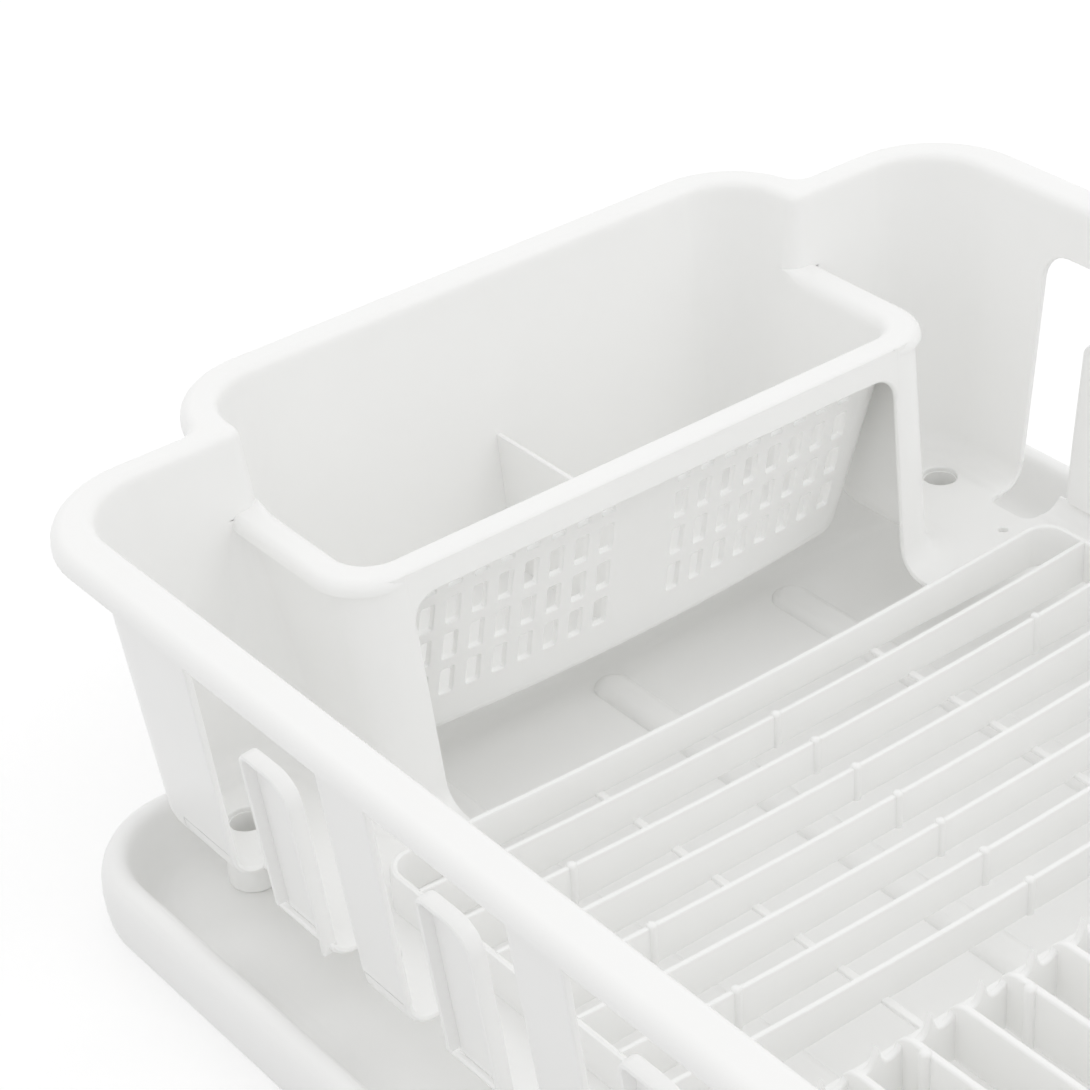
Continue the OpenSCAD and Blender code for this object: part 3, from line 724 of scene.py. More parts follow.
def wing_row(z):
    """From the end wall round the wing and the leg to the portal's opening."""
    out = []
    xe, yw, r = end_x(z), blend_z(WING_TOP_Y, WING_LOW_Y, z), wing_r(z)
    for a in np.linspace(180, 270, 9):
        n = unit(a)
        out.append((np.array([xe + r, yw + r]) + r * n, n))
    xp, leg_r = blend_z(PORTAL_TOP_X, PORTAL_LOW_X, z), blend_z(LEG_R_TOP, LEG_R_LOW, z)
    for a in np.linspace(90, 0, 9):
        d = unit(a)
        out.append((np.array([xp - leg_r, yw - leg_r]) + leg_r * d, -d))
    out.append((np.array([xp, blend_z(PORTAL_TOP_Y, PORTAL_LOW_Y, z) + HALF]), np.array([-1.0, 0.0])))
    return out


def lift(row, z):
    """A row's points at height z, moved out to the middle of the wall."""
    return [np.append(q + n * HALF, z) for q, n in row]


print("portal", 2 * PORTAL_LOW_Y, "wide at the floor, housing's top at", Z_HOUSE)

# %% Walls swept into the floor
ALL_SIDES = ("i0", "i1", "j0", "j1")


def column_down(top, low, n, r, shares=(0, 0.25, 0.5, 0.75)):
    """A column of points that runs down a wall and turns into a floor."""
    turn = bend([top, low, low - np.append(n, 0) * (r + FLAT_END)], r)
    return [top + (turn[1] - top) * s for s in shares] + turn[1:]


def pocket_wall():
    """The corner, the end wall's strip and, below the bin's rim, the wing and the portal's leg."""
    upper = []
    for z in (Z_JOIN, (Z_JOIN + Z_HOUSE) / 2, Z_HOUSE):
        end = [(np.array([end_x(z), y]), np.array([-1.0, 0.0]))
               for y in (WING_TOP_Y + WING_R_TOP, BIN_Y + STEP_R + STEP_LEAD)]
        upper.append(lift(corner_row(z, -1) + end, z))
    lower_top = corner_row(Z_HOUSE, -1) + wing_row(Z_HOUSE)
    lower_end = corner_row(Z_FLOOR_MID, -1) + wing_row(Z_FLOOR_MID)
    tops, lows = lift(lower_top, Z_HOUSE), lift(lower_end, Z_FLOOR_MID)
    columns = []
    corner_n = ARC_N + 2
    for k, (top, low, (_, n)) in enumerate(zip(tops, lows, lower_end)):
        t = min(max((k - corner_n) / 8.0, 0.0), 1.0)
        columns.append(column_down(top, low, n, BASE_R_MID + (LEG_R_MID - BASE_R_MID) * t))
    return join([shell(np.swapaxes(np.array(upper), 0, 1), WALL, open_sides=ALL_SIDES),
                 shell(columns, WALL, open_sides=("i0", "j0", "j1"))])


def plain_corner():
    """The corner at the plain end, with a lead at both seams."""
    def row(z):
        out = corner_row(z, 1)
        return out + [(out[-1][0] - np.array([0.0, SEAM]), out[-1][1])]

    low_row = row(Z_FLOOR_MID)
    tops, lows = lift(row(Z_JOIN), Z_JOIN), lift(low_row, Z_FLOOR_MID)
    columns = [column_down(top, low, n, BASE_R_MID) for top, low, (_, n) in zip(tops, lows, low_row)]
    return shell(columns, WALL, open_sides=ALL_SIDES)


print("one pocket has", len(pocket_wall()[1]), "faces, one plain corner", len(plain_corner()[1]))

# %% Walls and pockets together
SIDE_STRUTS = [(a + b) / 2 for a, b in zip(SIDE_XS, SIDE_XS[1:])]
END_STRUTS = [(a + b) / 2 for a, b in zip(END_YS, END_YS[1:])]


def corner_feet():
    """Fillet strips between a corner's seam and the first or last opening."""
    low = (OPEN_PITCH - STRUT_LOW_W) / 2
    bin_seam = wall_point(90, -1, Z_FLOOR_MID)[0] + SEAM
    plain_seam = wall_point(90, 1, Z_FLOOR_MID)[0] - SEAM
    end_seam = wall_point(0, 1, Z_FLOOR_MID)[1] - SEAM
    print("seams", bin_seam, SIDE_XS[0] - low, plain_seam, SIDE_XS[-1] + low, end_seam, END_YS[-1] + low)
    return [strip(side_column, bin_seam, SIDE_XS[0] - low - FIRST_WIDER - HALF, FILLET_TOP),
            strip(side_column, SIDE_XS[-1] + low + HALF, plain_seam, FILLET_TOP),
            strip(end_column, END_YS[-1] + low + HALF, end_seam, FILLET_TOP)]


side_base = base_strips(side_column, SIDE_XS, SIDE_STRUTS)
end_base = base_strips(end_column, END_YS, END_STRUTS)
walls = join([both(join([side_wall(), plain_corner()] + side_base + corner_feet())), end_wall()] + end_base)
piece("walls", walls, "drainer",
      ("wall_plain_near", "wall_plain_far", "strut_near_1", "strut_near_2", "strut_near_3", "strut_far_1",
       "strut_far_2", "strut_far_3", "strut_end_1", "strut_end_2"))
piece("pockets", both(pocket_wall()), "drainer", ("wall_bin_near", "wall_bin_far", "wing_near", "wing_far"))

# %% [markdown]
# ## Utensil bin
# The bin hangs in the bay and its front stands inside the basket. Its back half rises to the basket's rim; its
# front half stops lower, under a rim of its own. The front leans in and bows back a little towards its foot,
# as thin moulded panels do. One loft can't hold both heights, so two swept shells share the line where they
# meet.

# %% Sizes of the bin
Z_BIN = Z_TOP - 106.0
Z_BIN_MID = Z_BIN - HALF
BIN_FRONT_X = RIM_X0 + 65.0
BIN_FRONT_SLOPE = 0.185
FRONT_R_TOP = 13.0
FRONT_R_GROW = -0.03
FRONT_BOW = 5.0
FRONT_LEAD = 20.0
PANEL_LEAD = 1.0
PANEL_N = 6
BIN_FILLET = 3.0
TURN_X = IN_X0 - STEP_R
RING_TOP = Z_BIN_RIM - 6.0
UPPER_LEVELS = (Z_JOIN, Z_BIN_RIM + 6.0, RING_TOP)
PANEL_ROWS = 3


def bin_sizes(z):
    """Back's x, side's y, back corner's radius, front's x and front corner's radius at height z, inside."""
    d = Z_PLATE - z
    low = np.maximum(RING_TOP - z, 0.0)
    return (BIN_IN_X0 + BIN_SLOPE * d, BIN_Y - BIN_SLOPE * d, BIN_R - BIN_SLOPE * d,
            BIN_FRONT_X - BIN_FRONT_SLOPE * low, FRONT_R_TOP + FRONT_R_GROW * low)


def panel_edge(z):
    """Half the flat panel's width at height z."""
    _, ys, _, _, rf = bin_sizes(z)
    return ys - rf - PANEL_LEAD


def bow(y, z):
    """How far the front has curved back at (y, z); its upper edge is straight."""
    return FRONT_BOW * (RING_TOP - z) / (RING_TOP - Z_BIN) * (y / panel_edge(z)) ** 2


print("bin", Z_TOP - Z_BIN, "deep, panel's half width at the top", panel_edge(RING_TOP))

# %% Rows of the bin's walls


def bin_back_row(z):
    """Half of the bin's back at height z, from the step to the middle: points and outward normals."""
    xb, ys, r, _, _ = bin_sizes(z)
    out = [(np.array([TURN_X, ys]), np.array([0.0, 1.0])),
           (np.array([(TURN_X + xb + r) / 2, ys]), np.array([0.0, 1.0]))]
    for a in np.linspace(90, 180, ARC_N + 1):
        n = unit(a)
        out.append((np.array([xb + r, ys - r]) + r * n, n))
    out.append((np.array([xb, 0.0]), np.array([-1.0, 0.0])))
    return out


def step_row(z):
    """The rounded step between the bin's side and the basket's end wall."""
    ys, xe = bin_sizes(z)[1], end_x(z)
    reach_x, reach_y = xe - TURN_X, BIN_Y + STEP_R - ys
    out = [(np.array([xe, BIN_Y + STEP_R + STEP_LEAD]), np.array([-1.0, 0.0]))]
    for a in np.linspace(0, 90, 8)[:-1]:
        c, s = unit(a)
        n = np.array([-reach_y * c, reach_x * s])
        out.append((np.array([TURN_X + reach_x * c, ys + reach_y * (1 - s)]), n / np.linalg.norm(n)))
    return out


def bin_front_row(z):
    """Half of the bin's front at height z, from the step to the edge of the flat panel and the middle."""
    _, ys, _, xf, rf = bin_sizes(z)
    out = [(np.array([x, ys]), np.array([0.0, 1.0])) for x in (TURN_X, TURN_X + FRONT_LEAD)]
    for a in np.linspace(90, 0, 11):
        n = unit(a)
        q = np.array([xf - rf, ys - rf]) + rf * n
        out.append((q - np.array([bow(q[1], z), 0.0]), n))
    for y in np.linspace(panel_edge(z), 0, PANEL_N + 1):
        out.append((np.array([xf - bow(y, z), y]), np.array([1.0, 0.0])))
    return out


print("points in half a row: back", len(bin_back_row(Z_BIN)), "front", len(bin_front_row(Z_BIN)))

# %% The bin's shells


def mirror_row(row):
    """A row from the far side to the middle, carried on to the near side."""
    return row + [(q * ACROSS, n * ACROSS) for q, n in reversed(row[:-1])]


def swept(row_of, shares=(0, 0.25, 0.5, 0.75)):
    """Columns down the wall of the bin's back or front and into its floor."""
    tops, low_row = lift(mirror_row(row_of(RING_TOP)), RING_TOP), mirror_row(row_of(Z_BIN_MID))
    return np.array([column_down(top, np.append(q + n * HALF, Z_BIN_MID), n, BIN_FILLET + HALF, shares)
                     for top, (q, n) in zip(tops, low_row)])


def bin_shell():
    """The bin down to its foot: the part above the front ring, then the back; and both grids below it."""
    upper = [lift(mirror_row(step_row(z) + bin_back_row(z)), z) for z in UPPER_LEVELS]
    upper_part = shell(np.swapaxes(np.array(upper), 0, 1), WALL, open_sides=ALL_SIDES)
    back = swept(bin_back_row)
    front = swept(bin_front_row, shares=(0, 0.3, 0.6))
    back_part = shell(back, WALL, open_sides=ALL_SIDES)
    return join([upper_part, back_part]), back, front


def front_shell(front):
    """The front ring with the flat panel left out of it above its foot, and the height of that foot."""
    ni, nj = front.shape[:2]
    keep = np.ones((ni - 1, nj - 1), bool)
    mid = ni // 2
    keep[mid - PANEL_N:mid + PANEL_N, :PANEL_ROWS] = False
    return shell(front, WALL, keep, open_sides=ALL_SIDES), front[0, PANEL_ROWS, 2]


bin_body, back_grid, front_grid = bin_shell()
front_ring, PANEL_CUT = front_shell(front_grid)
print("front panel ends at", PANEL_CUT)

# %% The bin's floor


def two_sheets(top, low):
    """One face across each of two rings of points."""
    n = len(top)
    return np.concatenate([top, low]), [list(range(n)), [n + k for k in reversed(range(n))]]


def bin_floor():
    """Closes the ring's foot, above and below."""
    ring = np.array([c[-1] for c in back_grid] + [c[-1] for c in front_grid[::-1][1:-1]])
    return two_sheets(ring + np.array([0, 0, HALF]), ring - np.array([0, 0, HALF]))


piece("bin", join([bin_body, front_ring, bin_floor()]), "drainer",
      ("bin_back", "bin_side_near", "bin_side_far", "bin_floor"))

# %% [markdown]
# ## Windows
# Water drains through two groups of small windows. As holes in the ring's grid they would have to follow its
# lines, so the panel is a plate of its own, let into the ring exactly along its edges. It is scored along the
# ring's lines and between the rows, so that it bows as smoothly as the ring does.

# %% Windows of the panel
WIN_W = 5.0
WIN_H = 10.8
WIN_R = 0.6
WIN_PITCH_Y = 9.85
WIN_PITCH_Z = 15.2
WIN_TOP = Z_TOP - 35.5
WIN_COLS = 8
WIN_ROWS = 4
WIN_BAND = 25.5


def window_loops(scale):
    """Outlines of the windows; scale turns a height into a length up the leaning panel."""
    loops = []
    for s in (-1, 1):
        for i in range(WIN_COLS):
            mid = s * (WIN_BAND / 2 + WIN_W / 2 + i * WIN_PITCH_Y)
            for k in range(WIN_ROWS):
                top = (WIN_TOP - k * WIN_PITCH_Z) * scale
                corners = [(mid - WIN_W / 2, top - WIN_H), (mid + WIN_W / 2, top - WIN_H),
                           (mid + WIN_W / 2, top), (mid - WIN_W / 2, top)]
                loops.append(rounded(corners, WIN_R, 3))
    return loops


print("windows:", len(window_loops(1.0)))

# %% Front panel
PANEL_EDGE = 0.5
OVERLAP = 3.0
SCORE_GAP = 1.2


def panel_side(z):
    """The flat panel's far edge at height z."""
    return np.array([bin_sizes(z)[3] + HALF, panel_edge(z), z])


def front_panel():
    """A flat plate first, cut to the ring and scored, and then bowed."""
    v_axis = np.array([BIN_FRONT_SLOPE, 0.0, 1.0])
    scale = np.linalg.norm(v_axis)
    origin = (BIN_FRONT_X + HALF - BIN_FRONT_SLOPE * RING_TOP, 0.0, 0.0)
    ys = np.linspace(-BIN_Y, BIN_Y, 33)
    outline = [(y, (PANEL_CUT - OVERLAP) * scale) for y in ys]
    outline += [(y, (RING_TOP + OVERLAP) * scale) for y in ys[::-1]]
    part = plate([outline] + window_loops(scale), WALL, PANEL_EDGE, origin, (0, 1, 0), v_axis)
    part = trim(trim(part, (0, 0, RING_TOP), (0, 0, 1)), (0, 0, PANEL_CUT), (0, 0, -1))
    a, b = panel_side(RING_TOP), panel_side(PANEL_CUT)
    part = trim_ends(part, a, cut_plane(b - a, (1, 0, 0), (0, 1, 0)))
    for k in range(1 - PANEL_N, PANEL_N):
        share = np.array([1, k / PANEL_N, 1])
        part = trim(part, a * share, cut_plane((b - a) * share, (1, 0, 0), (0, 1, 0)), clear=False)
    for k in range(WIN_ROWS):
        for gap in (SCORE_GAP, -WIN_H - SCORE_GAP):
            part = trim(part, (0, 0, WIN_TOP - k * WIN_PITCH_Z + gap), (0, 0, 1), clear=False)
    v, f = part
    v[:, 0] -= bow(v[:, 1], v[:, 2])
    return v, f


piece("bin.front", front_panel(), "drainer", ("bin_front",))

# %% [markdown]
# A low wall parts the bin into a near and a far half. It is a flat plate, sunk a little into the walls and the
# floor so that no gap shows, and its top is level while the bin's walls lean.

# %% The divider
DIVIDER_H = 49.0
DIVIDER_T = 2.0
DIVIDER_EDGE = 0.6
SINK = 0.6


def divider():
    """Sunk a little into the walls and the floor, with its lower corners cut off inside their fillet."""
    r, s = BIN_FILLET, SINK
    foot_b, foot_f = bin_sizes(Z_BIN + r)[0], bin_sizes(Z_BIN + r)[3]
    top_b, top_f = bin_sizes(Z_BIN + DIVIDER_H)[0], bin_sizes(Z_BIN + DIVIDER_H)[3]
    loop = [(foot_b - s, Z_BIN + r), (foot_b + r, Z_BIN - s), (foot_f - r, Z_BIN - s),
            (foot_f + s, Z_BIN + r), (top_f + s, Z_BIN + DIVIDER_H), (top_b - s, Z_BIN + DIVIDER_H)]
    return plate([loop], DIVIDER_T, DIVIDER_EDGE, (0, 0, 0), (1, 0, 0), (0, 0, 1))


piece("bin.divider", divider(), "drainer", ("bin_divider",))

# %% [markdown]
# ## The bin's rim
# The bin's own rim is a U: two arms come out of the end wall and join across the front. Its inner edge rolls
# into the bin and its outer edge rolls down over the housing. It is lofted as the basket's rim is, because the
# roll grows from nothing as the arm leaves the wall.

# %% Stations of the bin's rim
ARM_Y = 119.5
U_IN_R = 4.5
U_FRONT_R = 2.0
U_OUT_R = 4.0
U_SKIRT = 4.5
U_CORNER_R = 18.0
PROUD = 0.25
U_EDGE_SHARE = 0.45
U_LIP_T = 2.0
U_ROOM = 0.5


def arm_stations(x_wall, in_y, low_y):
    """Where an arm grows out of the end wall: its roll and its width open step by step."""
    steps = ((TURN_X, 0.3, in_y + WALL), (x_wall - 0.6, 1.2, in_y + 4.0), (x_wall, 1.6, ARM_Y),
             (x_wall + 3, 3.0, ARM_Y), (x_wall + 6, 4.1, ARM_Y), (x_wall + 9, U_IN_R, ARM_Y))
    side = np.array([0.0, 1.0])
    return [(np.array([x, in_y]), np.array([x, low_y]), roll, np.array([x, out_y]), side)
            for x, roll, out_y in steps]


def u_rim_stations():
    """(inner point, the one on the wall below, roll radius, outer point, outward normal), step to middle."""
    _, ys, _, xf, rf = bin_sizes(Z_BIN_RIM)
    _, low_y, _, low_x, low_r = bin_sizes(RING_TOP)
    front_x = PORTAL_TOP_X + PROUD
    st = arm_stations(end_x(Z_BIN_RIM) - HALF, ys, low_y)
    for a in np.linspace(90, 0, 11):
        n = unit(a)
        st.append((np.array([xf - rf, ys - rf]) + rf * n,
                   np.array([low_x - low_r, low_y - low_r]) + low_r * n,
                   U_FRONT_R + (U_IN_R - U_FRONT_R) * n[1],
                   np.array([front_x - U_CORNER_R, ARM_Y - U_CORNER_R]) + U_CORNER_R * n, n))
    ahead = np.array([1.0, 0.0])
    st.append((np.array([xf, 0.0]), np.array([low_x, 0.0]), U_FRONT_R, np.array([front_x, 0.0]), ahead))
    return st


print("stations of half the bin's rim:", len(u_rim_stations()))

# %% The bin's rim


def u_rim_section(p, low, roll, q, n):
    """The section at a station, from the wall's inside over the top and back under."""
    depth = Z_BIN_RIM - RING_TOP
    rolled_in = p + (low - p) * roll / depth
    pts = [(low, depth)]
    for a in np.radians(np.linspace(0, 90, 7)):
        pts.append((rolled_in * (1 - math.sin(a)) + p * math.sin(a) + n * roll * (1 - math.cos(a)),
                    roll * (1 - math.sin(a))))
    r = min(U_OUT_R, U_EDGE_SHARE * float(np.linalg.norm(q - p)))
    for a in np.radians(np.linspace(90, 0, 7)):
        pts.append((q - n * r * (1 - math.cos(a)), r * (1 - math.sin(a))))
    pts += [(q, U_SKIRT), (q - n * 0.8, U_SKIRT + 0.1)]
    inner = p + n * (WALL + U_ROOM)
    back = q - n * U_LIP_T
    if (back - inner) @ n < 0:
        back = inner
    pts += [(back, U_SKIRT), (back, WALL), (inner, WALL), (low + n * WALL, depth)]
    return [(xy[0], xy[1], Z_BIN_RIM - d) for xy, d in pts]


def u_rim():
    far = u_rim_stations()
    near = [(p * ACROSS, low * ACROSS, r, q * ACROSS, n * ACROSS) for p, low, r, q, n in reversed(far[:-1])]
    return loft([u_rim_section(*s) for s in far + near], closed_section=True, caps=True)


piece("bin.rim", u_rim(), "drainer", ("bin_rim",))

# %% [markdown]
# ## The portal's arch
# Under the bin's rim an arch lets water and a hand through. It could be cut out of the pocket's wall, but its
# wide rounded edge needs a plate's bevel, so it is a flat plate between the legs, which the pockets hold.

# %% The portal's arch
ARCH_TOP = Z_TOP - 37.0
ARCH_R = 8.0
ARCH_SHOULDER = 8.0
ARCH_FOOT = 0.3
ARCH_SPARE = 4.0
FULL_ROUND = HALF - 0.01


def arch():
    slope = (PORTAL_TOP_X - PORTAL_LOW_X) / (Z_HOUSE - Z_FLOOR)
    v_axis = np.array([slope, 0.0, 1.0])
    scale = np.linalg.norm(v_axis)
    origin = (PORTAL_TOP_X - slope * Z_HOUSE - HALF, 0.0, 0.0)
    spring, high = (ARCH_TOP - ARCH_R) * scale, (Z_HOUSE + ARCH_SPARE) * scale
    edge = blend_z(PORTAL_TOP_Y, PORTAL_LOW_Y, ARCH_TOP - ARCH_R)
    wide, foot = edge + ARCH_SHOULDER, spring - ARCH_FOOT
    loop = [(wide, high), (-wide, high), (-wide, foot), (-edge, foot)]
    loop += arc(-edge + ARCH_R, spring, ARCH_R, 180, 90, 10)
    loop += arc(edge - ARCH_R, spring, ARCH_R, 90, 0, 10)
    loop += [(edge, foot), (wide, foot)]
    part = plate([loop], WALL, FULL_ROUND, origin, (0, 1, 0), v_axis, steps=3)
    part = trim(part, (0, 0, Z_HOUSE), (0, 0, 1))
    a = np.array([0.0, blend_z(PORTAL_TOP_Y, PORTAL_LOW_Y, Z_HOUSE) + HALF, Z_HOUSE])
    b = np.array([0.0, PORTAL_LOW_Y + HALF, Z_FLOOR])
    return trim_ends(part, a, cut_plane(b - a, (1, 0, 0), (0, 1, 0)))


piece("portal.arch", arch(), "drainer", ("portal",))

# %% [markdown]
# ## Frame wall round the slats
# The sill, the two rails and the rear comb are one upright wall with rounded corners. A grid of points round
# the loop, thickened, gives it the rounded top edge that the mould leaves, and lets the sill sag in the
# middle.

# %% Frame wall round the slats
LOOP_T = 2.6
LOOP_R = 9.0
REAR_X = box("comb_rear")[0][0] + HALF
LOOP_Y = RAIL_Y + 1.2
LOOP_STEPS = 6
LOOP_ARC_N = 8
SAG = 4.0


def slat_top(y):
    """The slats and the sill sag towards the middle."""
    return Z_SLAT - SAG * (1 - min(abs(y) / RAIL_Y, 1.0) ** 2)


def loop_path():
    """Points round the slats, starting along the sill; only the sill needs points between its corners."""
    n, straight = LOOP_ARC_N, LOOP_Y - LOOP_R
    pts = [(SILL_X, -straight + k * straight / LOOP_STEPS) for k in range(2 * LOOP_STEPS)]
    pts += arc(SILL_X + LOOP_R, straight, LOOP_R, 180, 90, n)
    pts += arc(REAR_X - LOOP_R, straight, LOOP_R, 90, 0, n)
    pts += arc(REAR_X - LOOP_R, -straight, LOOP_R, 0, -90, n)
    return pts + arc(SILL_X + LOOP_R, -straight, LOOP_R, 270, 180, n)[:-1]


def frame_wall():
    grid = []
    for x, y in loop_path():
        top = slat_top(y) if x < SILL_X + LOOP_R else Z_SLAT
        grid.append([(x, y, z) for z in np.linspace(Z_LOW + HALF, top - LOOP_T / 2, 4)])
    return shell(grid, LOOP_T, closed=True)


piece("frame.wall", frame_wall(), "drainer", ("rail_near", "rail_far", "comb_rear"))

# %% [markdown]
# ## Slats
# Thin upright slats carry the dishes, and small bosses stand where ejector pins push the moulding out. A boss
# is a turned form, so `lathe` spins its profile, and a slat is a plate whose top follows the sag.

# %% Turned parts


def lathe(profile, x, y, n):
    """Turns a profile of (radius, z) about a vertical axis."""
    rings = []
    for k in range(n):
        a = 2 * math.pi * k / n
        rings.append([(x + r * math.cos(a), y + r * math.sin(a), z) for r, z in profile])
    return loft(rings, closed_path=True)


def quarter(r, z_mid, r_mid, a0, a1, n):
    """Profile points (radius, z) of a rounded edge on a turned part."""
    angles = np.radians(np.linspace(a0, a1, n + 1))
    return [(r_mid + r * math.cos(a), z_mid + r * math.sin(a)) for a in angles]


print("a turned cone has", len(lathe([(5.0, 0.0), (0.0, 8.0)], 0, 0, 28)[1]), "faces")

# %% Slats
SLAT_T = 1.8
SLAT_PITCH = 18.15
SLAT_N = 8
SLAT_EDGE = 0.6
SLAT_REACH = RAIL_Y + 0.5
BOSS_R = 1.7
BOSS_Y = 95.0
BOSS_UP = 0.9
BOSS_ROUND = 0.8
BOSS_SLATS = (2, 4, 6)


def slat(x):
    ys = np.linspace(-SLAT_REACH, SLAT_REACH, 25)
    loop = [(SLAT_REACH, Z_LOW), (-SLAT_REACH, Z_LOW)] + [(y, slat_top(y)) for y in ys]
    return plate([loop], SLAT_T, SLAT_EDGE, (x, 0, 0), (0, 1, 0), (0, 0, 1))


def boss(x, y, top, r=BOSS_R):
    """A round boss from the slats' foot to top."""
    edge = r * BOSS_ROUND
    profile = [(0.0, Z_LOW), (r, Z_LOW), (r, top - edge)] + quarter(edge, top - edge, r - edge, 20, 90, 4)
    profile.append((0.0, top))
    return lathe(profile, x, y, 16)


def slats():
    parts = []
    for i in range(1, SLAT_N):
        x = SILL_X + i * SLAT_PITCH
        parts += [slat(x), boss(x, 0, slat_top(0) + BOSS_UP)]
        if i in BOSS_SLATS:
            parts += [boss(x, s * BOSS_Y, slat_top(BOSS_Y) + BOSS_UP) for s in (-1, 1)]
    return join(parts)


piece("slats", slats(), "drainer", ("floor_slats",))

# %% [markdown]
# Two low ribs tie the slats together from below. They could be part of each slat, but a rib runs across all of
# them, so each is one plate along the rack.

# %% Cross ribs
CROSS_Y = 57.0
CROSS_TOP = Z_SLAT - 14.8
CROSS_LOW = Z_LOW - 0.4
CROSS_T = 2.8
CROSS_PAST = 3.0


def cross_ribs():
    parts = []
    x1 = box("plate_fins")[0][0] + CROSS_PAST
    for y in (-CROSS_Y, CROSS_Y):
        loop = [(SILL_X, CROSS_LOW), (x1, CROSS_LOW), (x1, CROSS_TOP), (SILL_X, CROSS_TOP)]
        parts.append(plate([loop], CROSS_T, SLAT_EDGE, (0, y, 0), (1, 0, 0), (0, 0, 1)))
    return join(parts)


piece("cross.ribs", cross_ribs(), "drainer", ("cross_ribs",))

# %% [markdown]
# ## Plate rack
# Thirteen thin upright fins hold plates on edge. An array modifier could repeat one fin, but every second fin
# carries a boss, so a loop places them. Each is a plate with rounded upper corners.

# %% Fins
FIN_N = 13
FIN_PITCH = 19.5
FIN_T = 2.5
FIN_EDGE = 0.8
FIN_REAR_R = 6.0
FIN_FRONT_R = 8.0
FIN_X0 = box("plate_fins")[0][0]
Z_FIN = Z_SLAT + 4.5
FIN_YS = [(i - (FIN_N - 1) / 2) * FIN_PITCH for i in range(FIN_N)]
FIN_BOSS_X = 12.6
FIN_BOSS_R = 1.9


def fin(y):
    corners = [(FIN_X0, Z_LOW), (REAR_X, Z_LOW), (REAR_X, Z_FIN), (FIN_X0, Z_FIN)]
    loop = rounded(corners, [0, 0, FIN_REAR_R, FIN_FRONT_R], 8)
    return plate([loop], FIN_T, FIN_EDGE, (0, y, 0), (1, 0, 0), (0, 0, 1))


def fins():
    parts = [fin(y) for y in FIN_YS]
    for i in range(0, FIN_N, 2):
        parts.append(boss(FIN_X0 + FIN_BOSS_X, FIN_YS[i] - FIN_T / 2, Z_FIN + BOSS_UP, FIN_BOSS_R))
    return join(parts)


piece("fins", fins(), "drainer", ("plate_fins",))

# %% [markdown]
# A comb at each end joins the fins and keeps them apart. Its teeth swell out of a shallow valley between the
# fins. Modelling each tooth by hand would be slow, so one formula draws the top of the comb: a narrow spike at
# each valley's middle and a lift beside each fin.

# %% Combs
COMB_LEAD = 1.5
COMB_X = FIN_X0 + COMB_LEAD + HALF
VALLEY_HALF = FIN_PITCH / 2 - 1.2
VALLEY_DROP = 6.0
TOOTH_H = 7.0
TOOTH_W = 0.16
FIN_LIFT = 2.4
REAR_DROP = 8.0
BAR_AHEAD = 8.5
BAR_BEHIND = 2.0
BAR_UP = 1.0


def comb(x, top_valley, low, half_w):
    """A comb across the fins at x, its valleys at top_valley."""
    pts = [(half_w, low), (-half_w, low), (-half_w, top_valley)]
    for a, b in zip(FIN_YS, FIN_YS[1:]):
        mid = (a + b) / 2
        for t in np.linspace(-1, 1, 21):
            rise = TOOTH_H * math.exp(-(abs(t) / TOOTH_W) ** 1.3) + FIN_LIFT * abs(t) ** 5
            pts.append((mid + t * VALLEY_HALF, top_valley + rise))
    pts.append((half_w, top_valley))
    return plate([pts], WALL, WALL_EDGE, (x, 0, 0), (0, 1, 0), (0, 0, 1))


def floor_bar():
    """The flat bar along the front comb's foot."""
    x0, x1 = FIN_X0 - BAR_AHEAD, FIN_X0 + BAR_BEHIND
    loop = [(x0, -SLAT_REACH), (x1, -SLAT_REACH), (x1, SLAT_REACH), (x0, SLAT_REACH)]
    return plate([loop], WALL, FIN_EDGE, (0, 0, Z_FLOOR + BAR_UP), (1, 0, 0), (0, 1, 0))


comb_front = comb(COMB_X, Z_FIN - VALLEY_DROP, Z_LOW, RAIL_Y)
piece("comb.front", join([comb_front, floor_bar()]), "drainer", ("comb_front",))
piece("comb.rear", comb(REAR_X, Z_FIN - VALLEY_DROP, Z_SLAT - REAR_DROP, LOOP_Y - LOOP_R), "drainer")

# %% [markdown]
# ## Ledges and pocket floors
# Outside the frame wall the floor is flat, with holes for the feet and notches beside the prongs. It could be
# cut from the sheet by booleans, but one plate whose outline follows the walls' fillets keeps clean edges. The
# far side is drawn, and the near side is its mirror.

# %% Floor's outline
FOOT_R = 8.0
FOOT_HOLE_R = 6.0
FOOT_XS = (box("foot_bin_far")[0][0] + FOOT_R, box("foot_plain_far")[0][0] + FOOT_R)
FOOT_Y = box("foot_bin_far")[0][1] + FOOT_R
NOTCH_IN_Y = 147.0
NOTCH_R = 4.5
UNDER = 0.2


def foot_point(q, n, r):
    """Where the floor plate ends under a wall's fillet of radius r."""
    return tuple(q + n * HALF - n * (r + UNDER))


def floor_edge():
    """Outline of the walls' feet at the bin end, from the portal's opening to the long wall."""
    rows = [(q, n, LEG_R_MID) for q, n in reversed(wing_row(Z_FLOOR_MID))]
    rows += [(q, n, BASE_R_MID) for q, n in reversed(corner_row(Z_FLOOR_MID, -1))]
    return [foot_point(q, n, r) for q, n, r in rows]


def notch(mid, edge, inner, a, b):
    """Corner points of a notch in a straight edge."""
    lo, hi, r = mid + a, mid + b, NOTCH_R
    return ([(lo, edge)] + arc(lo + r, inner + r, r, 180, 270, 5) + arc(hi - r, inner + r, r, 270, 360, 5)
            + [(hi, edge)])


print("feet at x", FOOT_XS, "y", FOOT_Y, "outline at the bin end:", len(floor_edge()), "points")

# %% Floor plate
PIN_HOLE = (SILL_X - 19.8, 137.2, 1.6)
PLATE_DOWN = 0.06


